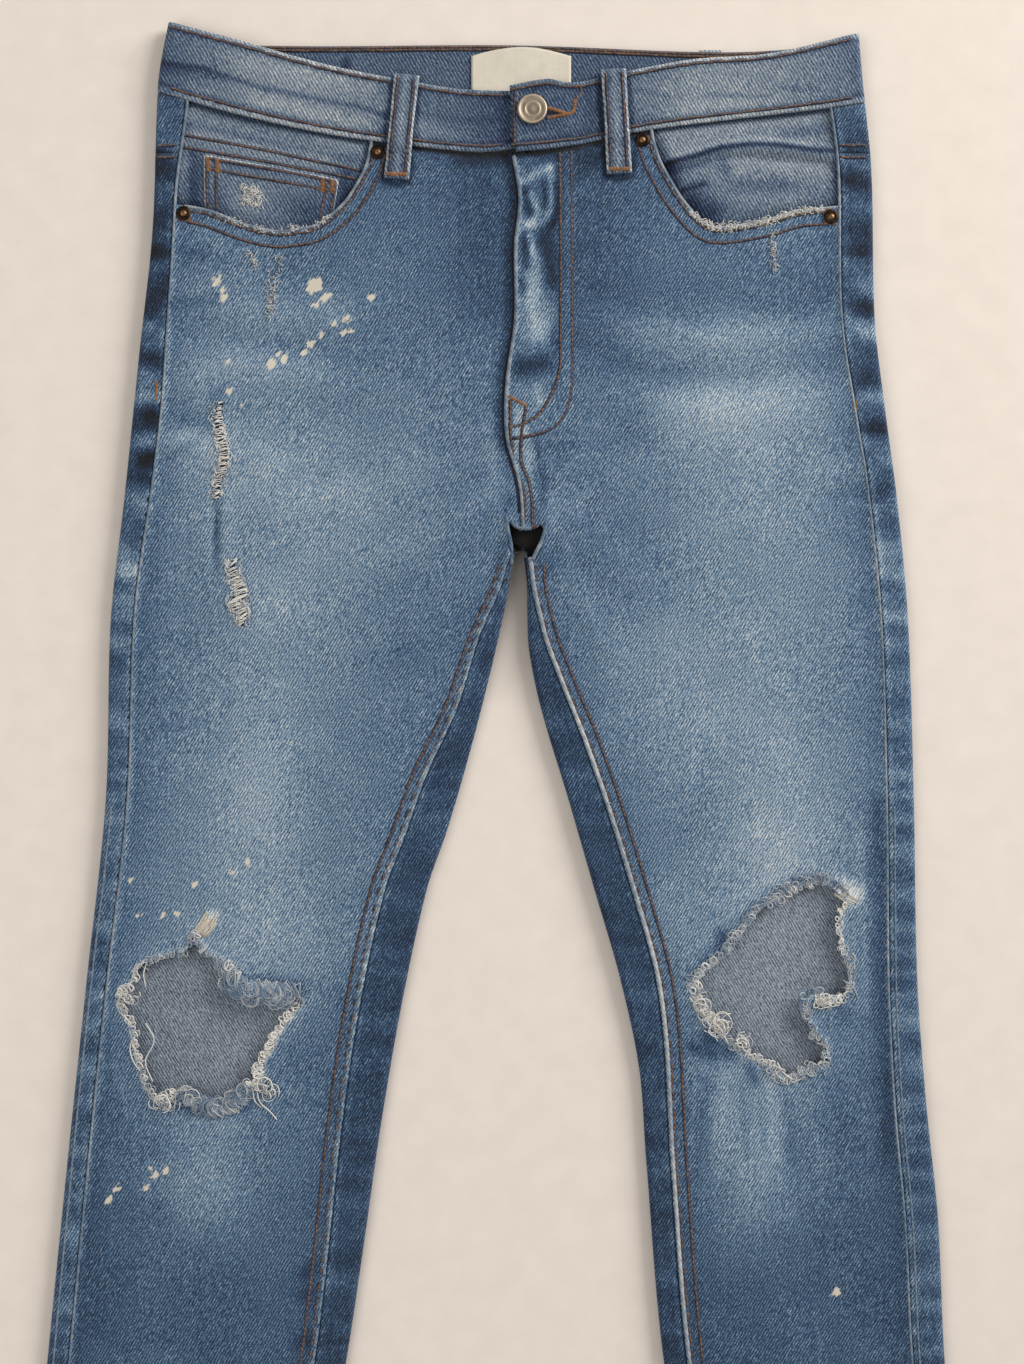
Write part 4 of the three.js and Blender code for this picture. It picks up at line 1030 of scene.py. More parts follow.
def buildYoke(side):
    # one back yoke: its rows shared out between the band and the slanting seam below it
    at = backGrid(side)
    out, z = at(yokeLevels[:, None])
    onTop = z > slot(yokeLevels[:, None])[3]
    share = (yokeLevels[:, None] - yokeLevels[0]) / (yokeLevels[-1] - yokeLevels[0])
    for _ in range(3):
        upperEdge = np.where(onTop, bandLower[side.sign](side.sign * out), bandLower[0](side.sign * out)) - 0.3
        y = upperEdge + share * (yokeSeam(out, onTop) + seam - upperEdge)
        out, z = at(y)
    finishBack(side, f"yoke_{side.name}", out, y, z, (0.235, 0.085))


for side in (right, left):
    buildFront(side)
    out, y, z, _ = leanGrid(backGrid(side), levelsDown, lambda out, onTop: yokeSeam(out, onTop) - seam,
                            bottomOf(side),
                            topReach=140)
    finishBack(side, f"back_{side.name}", out, y, z, (0.31, 0.985))
    buildYoke(side)
print("panels made")


# mm: heights, wall, how far the rims bulge, how high the left end rides over the right one, and both ends
band = {"top": 8.2, "low": 1.5, "wall": 2.3, "rim": 1.0, "lift": 2.8, "underlap": 29, "end": -3.5}
bandTone = {
    -1: through((-207, 0.2), (-196, 0.3), (-178, 0.48), (-150, 0.62), (-110, 0.68), (-84, 0.56), (-72, 0.42),
                (-50, 0.4), (-28, 0.2), (-8, 0.04), (30, 0.0)),
    1: through((-4, 0.12), (8, 0.08), (24, 0.08), (42, 0.06), (52, 0.3), (70, 0.48), (92, 0.64), (128, 0.7),
               (160, 0.6),
               (186, 0.44), (203, 0.4)),
    0: through((-200, 0.1), (-150, 0.2), (-60, 0.22), (20, 0.16), (110, 0.2), (200, 0.16)),
}


# painted shade in the creases and in the buttonhole's slit, and rubbed pale streaks, along the front of the band, in
# the same form as fadesAndShade
bandFadesAndShade = [
    ([(-204, -10), (-180, -13.5), (-149, -24), (-118.5, -30), (-88, -36), (-74, -41)], 1.7, -0.42),
    ([(-202, -13), (-186, -15), (-170, -19)], 4.0, -0.28), ([(-160, -9), (-110, -18), (-84, -24)], 5.0, 0.14),
    ([(-150, -31), (-112, -41), (-84, -45)], 4.0, 0.16), ([(-60, -38), (-40, -42), (-14, -44)], 2.4, -0.16),
    ([(-58, -46), (-40, -51), (-26, -53)], 3.0, 0.14), ([(-56, -28), (-44, -31)], 4.0, -0.14),
    ([(-8, -30), (-6, -54)], 3.0, -0.16), ([(111, -28.5), (146, -29.5)], 1.4, -0.24),
    ([(154, -25), (175, -26)], 1.4, -0.2), ([(68, -25), (88, -29)], 1.6, -0.2), ([(66, -44), (84, -42)], 3.0, -0.16),
    ([(66, -22), (90, -17), (120, -14)], 2.4, -0.1), ([(98, -36), (150, -30)], 4.0, 0.1),
    ([(4, -54), (22, -52)], 2.0, 0.14), ([(0.8, -28), (-1.5, -46), (1.5, -58)], 1.8, 0.42),
    ([(30, -46), (46, -43)], 3.0, 0.1), ([(14, -31), (30, -27)], 2.0, 0.14), ([(196, -4), (200, -26)], 5.0, -0.14),
    ([(19, -40), (28, -40.6)], 1.0, -0.9),
    # shadows down the sides of the loops
    ([(-71, -20), (-75.6, -64)], 1.5, -0.7), ([(-54.4, -19), (-60, -64)], 1.5, -0.5),
    ([(48.8, -16), (51.6, -60)], 1.5, -0.7), ([(65.2, -16), (68.4, -60)], 1.5, -0.5),
]


def bandSection(side, y, travel, shareIn):
    # a point of the band's wall: its outer and inner faces are two slots one inside the other
    outRadius = (band["top"] - band["low"]) / 2
    angle = np.clip(travel / outRadius, -np.pi / 2, np.pi / 2)
    beyond = np.maximum(np.abs(travel) - np.pi * outRadius / 2, 0)
    points = []
    for depth in (0, band["wall"]):
        top, low = band["top"] - depth, band["low"] + depth
        radius, mid = (top - low) / 2, (top + low) / 2
        points.append((side.outer(y) - depth - radius * (1 - np.cos(angle)) - beyond, mid + radius * np.sin(angle)))
    (o1, z1), (o2, z2) = points
    return o1 + (o2 - o1) * shareIn, z1 + (z2 - z1) * shareIn


def bandRelief(x, share):
    # ropy puckers along both sewn edges, and the long soft waves of a worn band
    edges = bell(share - 0.08, 0.1) + bell(share - 0.93, 0.1)
    ropes = 0.28 * np.sin(x / 1.7 + 2.2 * np.sin(x / 14)) * edges
    waves = 0.45 * np.sin(x / 13 + 1.5 * share) * bell(share - 0.5, 0.6) + 0.3 * np.sin(x / 29 + 2)
    return (ropes + waves) * (1 - bell(x - buttonAt[0], 13))


def buildWaistband():
    # the band's closed section, carried from the underlap round the back to the end with the buttonhole
    rim = band["rim"]
    turn = np.linspace(0, np.pi, 7)[1:-1]
    down = np.linspace(0, 1, 31)
    share = np.concatenate([down[::-1], 0 * turn, down, 1 + 0 * turn])
    depth = np.concatenate([0 * down, (1 - np.cos(turn)) / 2, 1 + 0 * down, (1 + np.cos(turn)) / 2])
    over = np.concatenate([0 * down, rim * np.sin(turn), 0 * down, -rim * np.sin(turn)])
    quarter = np.pi * (band["top"] - band["low"]) / 4

    def reach(side, end):
        return side.outer(-20) - end - quarter * 2 / np.pi + quarter

    columns = []
    for side, end in ((right, -band["underlap"]), (left, band["end"])):
        travel = np.concatenate([np.linspace(reach(side, end), quarter, 92)[:-1],
                                 np.linspace(quarter, -quarter, 9)[:-1],
                                 -np.linspace(quarter, reach(side, 0), 50)])
        columns += [(side, t) for t in (travel if side is right else travel[::-1][1:])]
    x, y, z, tone, ridge = ([] for _ in range(5))
    for side, t in columns:
        layer = side.sign if t > 0 else 0
        upper, lower = bandUpper[layer], bandLower[layer]
        out, _ = bandSection(side, np.full(share.shape, -20.0), t, depth)
        for _ in range(2):
            across = side.sign * out
            level = (upper(across) - rim) + (lower(across) - upper(across) + 2 * rim) * share + over
            out, height = bandSection(side, level, t, depth)
        across = side.sign * out
        lift = band["lift"] * (1 - ramp(across, 27, 44)) if layer == 1 else 0
        outerTone = bandTone[layer](across)
        if layer:
            for line, width, amount in bandFadesAndShade:
                if min(p[0] for p in line) - 12 < across[0] < max(p[0] for p in line) + 12:
                    outerTone = outerTone + stroke(across, level, line, width, amount)
        else:
            outerTone = outerTone - 0.6 * bell(across + 98.6, 1.0) + 0.14 * bell(across + 96, 1.6)
        # rims rubbed pale, and painted shade in the channels of the two rows of stitches
        edgeWearAndShade = 0.24 * bell(share, 0.04) + 0.2 * bell(share - 1, 0.05)
        edgeWearAndShade = edgeWearAndShade - 0.3 * bell(share - 0.09, 0.03) - 0.3 * bell(share - 0.9, 0.035)
        scraped = 0.36 * bell(share - 0.02, 0.04) + 0.26 * bell(share - 1, 0.04)
        scraped = scraped * (0.7 + 0.3 * np.sin(across / 1.9))
        height = height + lift + (bandRelief(across, share) if layer else 0)
        column = across, level, height, outerTone + edgeWearAndShade * (t > 0), scraped
        for values, new in zip((x, y, z, tone, ridge), column):
            values.append(new)
    x, y, z, tone, ridge = (np.array(v) for v in (x, y, z, tone, ridge))
    piece = makePiece("waistband_cloth", gridPoints(x, y, z), [block[:, ::-1] for block in ringFaces(*x.shape)],
                      denimTrim, {"wearAndShade": tone, "ridge": ridge})
    cloth(piece, "waistband", (0.845, 0.038), 0,
          area=0.845 * 0.037)


def bandTop(x, y):
    # height of the front band's face at a plan point
    side = -1 if x.mean() < -3.5 else 1
    upper, lower = bandUpper[side](x), bandLower[side](x)
    share = np.clip((y - upper) / (lower - upper), 0, 1)
    lift = band["lift"] * (1 - ramp(x, 27, 44)) if side > 0 else 0
    return band["top"] + lift + bandRelief(x, share)


buildWaistband()


facing = {"top": 4.1, "coinTop": 5.4, "wall": 0.8}  # mm: heights of the facings and the coin pocket, and their wall
coinCorners = np.array([(-180.4, -62.6), (-102, -77), (-109.5, -121), (-179.5, -113.5)], float)
# the left facing's folds: each its line, the step along it, its half width and its height in mm
mouthFolds = [
    ([(86, -69), (104, -62), (130, -57.5), (184, -62)], 4, 4.5, 1.9),
    ([(88, -76), (106, -68), (132, -64), (184, -68)], 4, 2.6, -1.5),
    ([(100, -94), (120, -90), (156, -90)], 6, 6, 1.1), ([(97, -82), (110, -79)], 4, 2.2, -0.8),
]


def facingRelief(side, x, y):
    # the facing bellies up through the scoop, with soft folds on the left one
    inMouth = np.where(inside(x, y, scoopCuts[side.name]), 1, 0) * ramp(
        lineDistance(x, y, scoopLines[side.name])[0], 0.5, 7) * ramp(bandLower[side.sign](x) - y, -1, 5)
    if side is right:
        return inMouth * (1.5 + 0.5 * bell((x + 140) / 60, 1) + 0.35 * np.sin(x / 11 + y / 7))
    belly = 1.8
    for line, step, width, rise in mouthFolds:
        belly = belly + rise * bell(lineDistance(x, y, smoothLine(line, step))[0], width)
    return inMouth * belly


def plateGrid(node, corners, steps, height, tone, flat):
    # a four-cornered sheet: its corners joined by straight lines, its height and its rubbed tone and painted shade
    # from functions
    u = np.linspace(0, 1, steps[0])[None]
    v = np.linspace(0, 1, steps[1])[:, None]
    a, b, c, d = (np.asarray(p, float)[:, None, None] for p in corners)
    x, y = a * (1 - u) * (1 - v) + b * u * (1 - v) + c * u * v + d * (1 - u) * v
    wide, high = abs(b[0, 0, 0] - a[0, 0, 0]), abs(d[1, 0, 0] - a[1, 0, 0])
    edge = np.minimum(np.minimum(u, 1 - u) * wide + 0 * v, np.minimum(v, 1 - v) * high + 0 * u)
    piece = makePiece(f"{node}_cloth", gridPoints(x, y, height(x, y)), [gridFaces(*x.shape)[:, ::-1]], denimTrim,
                      {"wearAndShade": tone(x, y, edge), "ridge": bell(edge - 0.8, 0.9)})
    cloth(piece, node, flat, facing["wall"])


# painted shade in the creases and where the facings meet the side panels, and pale rubbed places on the facings, in
# the same form as fadesAndShade
facingFolds = {
    "left": [
        ([(86.4, -68.4), (101.5, -64.3), (119.4, -58.8), (137.3, -56.7), (153.9, -57.4), (170.4, -59.9),
          (187, -60.8)], 1.4, -1.0),
        ([(88, -65), (101.5, -61), (119.4, -55.4), (137.3, -53.3), (153.9, -54), (170.4, -56.5)], 1.8, 0.22),
        ([(90, -73), (102, -69), (112, -66)], 2.6, -0.3), ([(97.4, -82.8), (109.8, -79.4)], 1.4, -0.8),
        ([(92, -70), (91, -82)], 5, -0.5), ([(104, -88), (114, -96)], 7, -0.6), ([(120, -65), (121, -71)], 4, -0.3),
        ([(187, -46), (188.5, -92)], 2.4, -0.7), ([(92, -56), (120, -48), (170, -43)], 4, 0.12),
        ([(130, -72), (160, -70), (178, -74)], 5, 0.16), ([(128, -90), (150, -91), (172, -88)], 5, 0.12),
        ([(126, -80), (160, -80)], 4, -0.18), ([(84, -58), (88, -70)], 4, -0.3),
        ([(158, -50), (186, -46)], 4, -0.28)],
    "right": [
        ([(-196, -44), (-140, -56), (-90, -66)], 2.4, -0.26), ([(-185, -50), (-110, -63)], 3, 0.16),
        ([(-199, -30), (-198.5, -92)], 3.0, -0.5), ([(-186, -62), (-186, -92)], 4.5, -0.6),
        ([(-98, -74), (-100, -98)], 5, -0.6),
        ([(-193, -68), (-188, -66)], 3, 0.22), ([(-180, -38), (-120, -52)], 3, -0.12)],
}


def facingWearAndShade(side, x, y):
    # paler towards the band; painted shade under the band and along the scoop's edge
    tone = (0.36 if side is right else 0.4) + 0.2 * ramp(y, -96, -62)
    for line, width, amount in facingFolds[side.name]:
        tone = tone + stroke(x, y, line, width, amount)
    underBand = bandLower[side.sign](x) - y
    return tone - 0.4 * bell(lineDistance(x, y, scoopLines[side.name])[0], 2.6) - 0.5 * bell(underBand, 1.5)


for side, corners, steps in ((right, [(-203, -24), (-64, -50), (-80, -126), (-203, -120)], (90, 60)),
                             (left, [(64, -42), (200, -27), (199, -118), (80, -126)], (116, 76))):
    plateGrid(f"pocket_facing_{side.name}", corners, steps,
              lambda x, y: facing["top"] + facingRelief(side, x, y), lambda x, y, edge: facingWearAndShade(side, x, y),
              (0.136, 0.09))


def coinRelief(x, y):
    # the coin pocket follows the facing's belly at 0.8 of its height, with a slow ripple
    return facing["coinTop"] + 0.8 * facingRelief(right, x, y) + 0.25 * np.sin(x / 6.5 + y / 5)


def coinWearAndShade(x, y, edge):
    # pale in the middle and along the turned edge, with painted shade in its stitched groove, and darker in two
    # patches
    tone = 0.4 + 0.34 * bell(np.hypot(x + 153, (y + 88) * 1.2), 10) + 0.4 * bell(edge, 0.9)
    tone = tone - 0.25 * bell(edge - 2.2, 1.2)
    return tone - 0.4 * bell(np.hypot((x + 116) / 1.3, y + 98), 13) - 0.25 * bell(np.hypot(x + 172, (y + 92) / 2), 5)


plateGrid("coin_pocket", coinCorners, (54, 36), coinRelief, coinWearAndShade, (0.08, 0.047))

labelSpec = {"left": -25.3, "right": 32.6, "top": -7, "peak": 7.0, "bottom": -40, "base": 4.8}


def buildLabel():
    # a bare folded tape sewn inside the back of the band, its upper edge arched over the band's
    u = np.linspace(0, 1, 40)[None]
    v = np.linspace(0, 1, 28)[:, None]
    x = labelSpec["left"] + (labelSpec["right"] - labelSpec["left"]) * u + 0 * v
    top = labelSpec["top"] + labelSpec["peak"] * np.sin(np.pi * (0.08 + 0.84 * u)) ** 0.9
    y = top + (labelSpec["bottom"] - top) * v
    z = labelSpec["base"] + 0.9 * np.sin(np.pi * u) * (1 - v) ** 2 + 0.2 * np.sin(x / 5) * (1 - v)
    piece = makePiece("waist_label_cloth", gridPoints(x, y, z), [gridFaces(*x.shape)[:, ::-1]], labelCotton)
    cloth(piece, "waist_label", (0.058, 0.042), 0.5)


buildLabel()


# the front loops: the middles of both ends, where they step down off the band, and the width, all in mm
loops = {
    "belt_loop_front_right": dict(top=(-62.6, -18.5), bottom=(-68.5, -77), step=-59, width=14.6),
    "belt_loop_front_left": dict(top=(57, -15.2), bottom=(60.5, -74), step=-54, width=14.6),
}


def loopHeight(y, spec):
    # over the band, down the step at its lower edge and on to the panel
    step = ramp(y, spec["step"] - 5, spec["step"] + 1)
    return 8.15 + 1.25 * step + 0.9 * bell(y - (spec["step"] + 8), 16) * step


def buildLoop(name, spec):
    # a folded strip: a flat rounded section carried from behind the band's upper edge to its bar tack
    length, along, across = between(spec["top"], spec["bottom"])
    s = np.concatenate([[-2.2, -2.0, -1.2, 0, 1.2, 2.5], np.linspace(4, length, 36)])
    turn = 2 * np.pi * np.arange(28) / 28
    wide = spec["width"] / 2 * np.sign(np.cos(turn)) * np.abs(np.cos(turn)) ** 0.35
    thick = 0.85 * np.sign(np.sin(turn)) * np.abs(np.sin(turn)) ** 0.7
    centre = np.array(spec["top"], float) + s[:, None] * along
    z = loopHeight(centre[:, 1], spec) + 0.35
    z = np.where(s < 2.5, 5.6 + (z - 5.6) * np.sqrt(np.clip((s + 2.3) / 4.8, 0, 1)), z)
    narrow = 1 - 0.05 * bell(s - length * 0.45, length * 0.25)
    x = centre[:, :1] + across[0] * wide * narrow[:, None]
    y = centre[:, 1:] + across[1] * wide * narrow[:, None]
    crown = 0.35 * (1 - (wide / (spec["width"] / 2)) ** 2)
    rows = 0.22 * (bell(np.abs(wide) - 4.4, 0.9))
    edge = np.abs(wide) - 6.9
    h = z[:, None] + thick + np.where(thick > 0, crown - rows, 0)
    h = h + 0.15 * np.sin(s / 2.4)[:, None] * bell(np.abs(wide) - 6.5, 1.5)
    # pale along the rubbed edges, with painted shade in the sunk lines of its two rows of stitches
    tone = 0.5 + 0.2 * bell(edge, 0.9) - 0.4 * bell(np.abs(wide) - 4.6, 0.8) + 0.16 * bell(s - 30, 18)[:, None]
    piece = makePiece(f"{name}_cloth", gridPoints(x, y, h), ringFaces(*x.shape), denimTrim,
                      {"wearAndShade": tone, "ridge": 0.4 * bell(edge, 0.9) + 0 * h})
    cloth(piece, name, (0.0135, 0.062), 0, area=0.0135 * 0.06)


for name, spec in loops.items():
    buildLoop(name, spec)


patch = {"low": 0.05, "high": 1.15, "tone": 0.5}  # mm and wear of the patches under the seat


def flatPiece(node, outline, flat, spacing=3.0):
    # a patch under the seat, face down: rows from its level top to its foot, squeezed between its two sides
    outline = np.array(outline, float)
    (x0, bottom), (x1, top) = outline.min(0), outline.max(0)
    half, middle = (x1 - x0) / 2, (x1 + x0) / 2
    u = np.linspace(-1, 1, int(2 * half / spacing) + 2)[None]
    v = np.linspace(0, 1, int((top - bottom) / spacing) + 2)[:, None]
    low = outline[outline[:, 1] < outline[:, 1].mean(), 1]
    y = top + (bottom + (low.max() - bottom) * np.abs(u) - top) * v
    flank = outline[outline[:, 0] >= middle]
    flank = flank[np.argsort(flank[:, 1])]
    x = middle + u * np.interp(top + (bottom - top) * v * 0.86, flank[:, 1], flank[:, 0] - middle)
    edge = np.minimum((1 - np.abs(u)) * half + 0 * v, np.minimum(v, 1 - v) * (top - bottom) + 0 * u)
    piece = makePiece(f"{node}_cloth", gridPoints(x, y, patch["low"] + 0 * x), [gridFaces(*x.shape)], denimTrim,
                      {"wearAndShade": patch["tone"] + 0.12 * bell(edge, 3), "ridge": bell(edge - 0.8, 1.0)})
    cloth(piece, node, flat, patch["high"] - patch["low"])


def pocketCentre(side):
    # x of a back pocket's middle: 104 mm to either side of a line 3 mm left of the middle
    return side.sign * 104 + 3


for side in (right, left):
    c = pocketCentre(side)
    flatPiece(f"back_pocket_{side.name}",
              [(c - 70, -112), (c - 58, -232), (c, -250), (c + 58, -232), (c + 70, -112)], (0.14, 0.138))
for name, x in (("belt_loop_back_right", -112), ("belt_loop_back_centre", 2), ("belt_loop_back_left", 114)):
    flatPiece(name, [(x - 6.5, 0), (x - 6.5, -52), (x + 6.5, -52), (x + 6.5, 0)], (0.013, 0.052), 1.6)
print("trim made")


# painted shade: a flat dark strip is laid along each of these lines later
channelShadeLines = []  # the channels that the rows of stitches press into the cloth


def stitches(line, height, pitch=3.0, length=2.45, radius=0.54, sink=0.22, arch=0.46):
    # running stitches along a plan line: each a short arched thread that dives in at both ends
    line = smoothLine(line, 0.4)
    channel = line[::5]
    # keeps the row's line for its painted shadow strip
    if arch > 0 and len(channel) > 2:
        channelShadeLines.append(np.column_stack([channel, height(*channel.T) - 0.02]))
    along = np.concatenate([[0], np.cumsum(np.linalg.norm(np.diff(line, axis=0), axis=1))])
    count = int(along[-1] / pitch)
    start = pitch * np.arange(count) + rng.normal(0, 0.12, count)
    t = np.linspace(0, 1, 5)
    stops = np.clip(start[:, None] + length * t, 0, along[-1])
    x, y = (np.interp(stops, along, line[:, k]) + rng.normal(0, 0.1, (count, 1)) for k in (0, 1))
    return np.stack([x, y, height(x, y) - sink + arch * np.sin(np.pi * t)], axis=-1), radius


def threadPiece(name, groups, material):
    # rows of stitches as one piece, each stitch with a tint of its own
    joinTubes(name, [(lines, radius, rng.uniform(0.2, 0.8, len(lines))) for lines, radius in groups], material)


def offsetLine(line, distance):
    # the same line moved sideways, to its left
    line = smoothLine(line, 1.5)
    return line + distance * directions(line)[1]


def onLeg(side):
    # the height of one front's cloth, as a function of the plan point
    return lambda x, y: legTop(side, x, y)


def level(z):
    # the same value everywhere
    return lambda x, y: z + 0 * x


rows = []
for side, sense in ((right, -1), (left, 1)):
    line = scoopLines[side.name]
    for distance in (2.2, 9.0):
        moved = offsetLine(line, sense * -distance)
        moved = moved[np.abs(moved[:, 0]) < (192 if side is right else 184)]
        moved = moved[moved[:, 1] < bandLower[side.sign](moved[:, 0]) - 2]
        rows.append(stitches(moved, onLeg(side)))
# the two rows that shape the fly, from the band down to the centre seam
flyInner = [(26, -62), (26.5, -120), (26.3, -170), (26, -186), (22, -200), (14, -213), (4, -219.5), (-4, -221)]
flyOuter = [(32.5, -61), (33, -130), (33, -180), (32.5, -198), (29, -212), (20, -222), (6, -226.5), (-3, -227.5)]
rows += [stitches(line, onLeg(left)) for line in (flyInner, flyOuter)]
rows += [stitches([(6.5, -209), (4, -225), (3.5, -240), (8, -252), (10, -266), (10, -281)], onLeg(left))]
rows += [stitches([(-2.6, -205), (-2.4, -226), (-0.2, -244), (4.8, -256), (5.6, -268), (4.6, -280)], onLeg(left))]
rows += [stitches([(-4, -271.5), (1.5, -278.3), (9.5, -279.2), (17.5, -275)], onLeg(left))]
threadPiece("front_topstitch", rows, brownThread)

# each row's distance outside the inseam, how much nearer it starts, and how it leaves the crotch
inseamRows = {"right": [(3.4, 0.6, [(-4.8, -287), (-6.2, -298)]), (8.6, 3.2, [(-5.9, -277), (-7.6, -294)])],
              "left": [(4.0, 0.4, [(11.6, -299)]), (9.8, 1.4, [(16.0, -284), (16.6, -297)])]}
rows = []
for side in (right, left):
    y = np.arange(-310, -1012, -6.0)
    seamOut = side.inner(y) + side.inStrip(y)
    for distance, nearer, start in inseamRows[side.name]:
        away = distance - nearer * ramp(y, -420, -310)
        rows.append(stitches(np.vstack([start, np.stack([side.sign * (seamOut + away), y], axis=1)]), onLeg(side)))
    out = np.linspace(side.inner(hemY) + 3, side.outer(hemY) - 3, 30)
    rows.append(stitches(np.stack([side.sign * out, bottomOf(side)(out) + 12], axis=1), onLeg(side)))
threadPiece("leg_topstitch", rows, brownThread)

rows = []
for sign, start, end in ((-1, -199, -6), (1, -2, 196)):
    x = np.linspace(start, end, 50)
    for share in (0.08, 0.91):
        y = bandUpper[sign](x) + share * (bandLower[sign](x) - bandUpper[sign](x))
        rows.append(stitches(np.stack([x, y], axis=1), bandTop, pitch=2.7, length=2.6, radius=0.48))
x = np.linspace(-165, 150, 60)
for drop in (1.5, 2.9):
    rows.append(stitches(np.stack([x, bandUpper[0](x) - drop], axis=1), level(3.95), pitch=2.7, length=2.6,
                         radius=0.62))
rows.append(stitches([(0.5, -25), (-0.5, -40), (0, -59)], bandTop, radius=0.5))
threadPiece("waistband_topstitch", rows, brownThread)

rows = []
for spec in loops.values():
    _, along, across = between(spec["top"], spec["bottom"])
    for offset in (-4.6, 4.6):
        line = [spec["top"] + along * 1.5 + across * offset, spec["bottom"] - along * 3 + across * offset]
        rows.append(stitches(line, lambda x, y: loopHeight(y, spec) + 1.28, pitch=2.7, length=2.5, radius=0.42))
threadPiece("loop_topstitch", rows, brownThread)

a, b, c, d = coinCorners
rows = []
for drop in (1.6, 7.6):
    rows.append(stitches([a + (3, -drop - 0.6), b + (-3, -drop + 0.6)], coinRelief))
for offset in (1.8, 7.0):
    rows.append(stitches([a + (offset, -2), d + (offset, 2)], coinRelief))
    rows.append(stitches([b + (-offset, -2), c + (-offset, 2)], coinRelief))
for line in ([(-192, -51), (-140, -61), (-87, -72)], [(-192, -58), (-140, -67.5), (-88, -77)]):
    rows.append(stitches(line, lambda x, y: facing["top"] + facingRelief(right, x, y)))
threadPiece("coin_pocket_topstitch", rows, brownThread)

seatRow = dict(height=level(1.62), arch=-0.42, sink=-0.22)  # rows on the underside arch downwards
pocketRow = dict(height=level(0.42), arch=-0.25, sink=-0.1, radius=0.25)
rows = []
for side in (right, left):
    out = np.linspace(6.0, 196.0, 40)
    for drop in (2.0, 8.0):
        rows.append(stitches(np.stack([side.sign * out, yokeSeam(out, False) - drop], axis=1), **seatRow))
    y = np.arange(-110, -276, -4.0)
    if side is left:
        for offset in (2.2, 8.2):
            rows.append(stitches(np.stack([seatX + offset + 0 * y, y], axis=1), **seatRow))
    c = pocketCentre(side)
    for inset in (2.0, 8.0):
        outline = [(c - 70 + inset, -113), (c - 58 + inset, -231), (c, -250 + 1.1 * inset), (c + 58 - inset, -231),
                   (c + 70 - inset, -113)]
        for p, q in zip(outline, outline[1:]):
            rows.append(stitches([p, q], **pocketRow))
        rows.append(stitches([(c - 68, -112 - 2 * inset), (c + 68, -112 - 2 * inset)], **pocketRow))
    edge = side.outer(-62)
    out = np.linspace(edge - side.outStrip(-62) + 1, edge - 1.0, 8)
    for drop in (-57.5, -64.5):
        rows.append(stitches(np.stack([side.sign * out, np.full(8, drop)], axis=1), onLeg(side)))
threadPiece("back_topstitch", rows, brownThread)


def barTack(p, q, width, height, step=0.55, radius=0.3):
    # a dense zigzag from p to q
    length, along, across = between(p, q)
    count = max(4, int(length / step))
    s = np.linspace(0, length, count)
    t = np.linspace(-1, 1, 5)
    x, y = (p[k] + along[k] * (s[:, None] + 0.3 * t) + across[k] * width / 2 * t + rng.normal(0, 0.08, (count, 1))
            for k in (0, 1))
    return np.stack([x, y, height(x, y) + 0.35 * (1 - t**2) - 0.05], axis=-1), radius


tacks = []
for spec in loops.values():
    x, y = spec["bottom"]
    tacks.append(barTack((x - 5.6, y + 2.2), (x + 5.6, y + 2.2), 2.2, lambda x, y: loopHeight(y, spec) + 1.28))
tacks += [barTack(p, q, width, height) for p, q, width, height in (
    ((-3.5, -203), (6.4, -208.2), 1.7, onLeg(left)), ((-178, -64.5), (-177.6, -72), 2.4, coinRelief),
    ((-172.6, -65.5), (-172.2, -73), 2.4, coinRelief), ((-111.6, -76.5), (-111.4, -84), 2.4, coinRelief),
    ((-105.8, -77.5), (-106, -85), 2.4, coinRelief), ((-207.5, -194), (-207.5, -205), 1.7, onLeg(right)),
    ((197.6, -205), (197.6, -212), 1.7, onLeg(left)),
)]
threadPiece("bar_tacks", tacks, tanThread)
threadPiece("rivet_patches", [barTack((x, y + 4.4), (x, y - 4.4), 8.6, onLeg(side), step=0.5, radius=0.32)
                              for side, x, y in ((right, -192, -97), (left, 183, -99))], brownThread)


def buttonholeThreads():
    # whipped threads along the keyhole's two lips and round its end, and one loose end
    groups = []
    for lip in ([(19, -37.2), (24, -38.6), (29, -40.2)], [(19, -43), (24, -42), (29, -41)],
                [(28.5, -40.8), (32, -40), (34.2, -37.5), (34.6, -33.5), (35.3, -31.5)]):
        centre = smoothLine(lip, 0.42)
        tangent, normal = directions(centre)
        t = np.linspace(-1, 1, 5)
        lean = rng.normal(0, 0.15, (len(centre), 1))
        x, y = (centre[:, k] + normal[:, k] * 0.9 * t + tangent[:, k] * lean for k in ([0], [1]))
        groups.append((np.stack([x, y, bandTop(x, y) + 0.5 * (1 - t**2)], axis=-1), 0.26))
    loose = smoothLine([(35.3, -31.5), (38, -29), (38.6, -25.5), (36.5, -23.4), (34.9, -25.2)], 0.8)
    groups.append((np.column_stack([loose, bandTop(*loose.T) + 0.9])[None], 0.24))
    return groups


threadPiece("buttonhole_stitch", buttonholeThreads(), tanThread)


def ropes(name, lines, radius, wearAndShadeOf, flat=1.0, sides=6):
    # rolls of cloth, or flat dark strips of painted shade, along lines of any length, each a closed round strip
    joinTubes(name, [(line[None], radius, wearAndShadeOf(line[:, 0], line[:, 1])) for line in lines], denimRolled,
              "wearAndShade", sides, flat)


def onCloth(line, height, rise, step=1.2):
    # a smooth line laid on the cloth, rise mm above it
    line = smoothLine(line, step)
    return np.column_stack([line, height(*line.T) + rise])


def downLeg(side, out, y, rise):
    # a line down one leg, out mm from the middle at each height y
    return onCloth(np.column_stack([side.sign * out, y]), onLeg(side), rise)


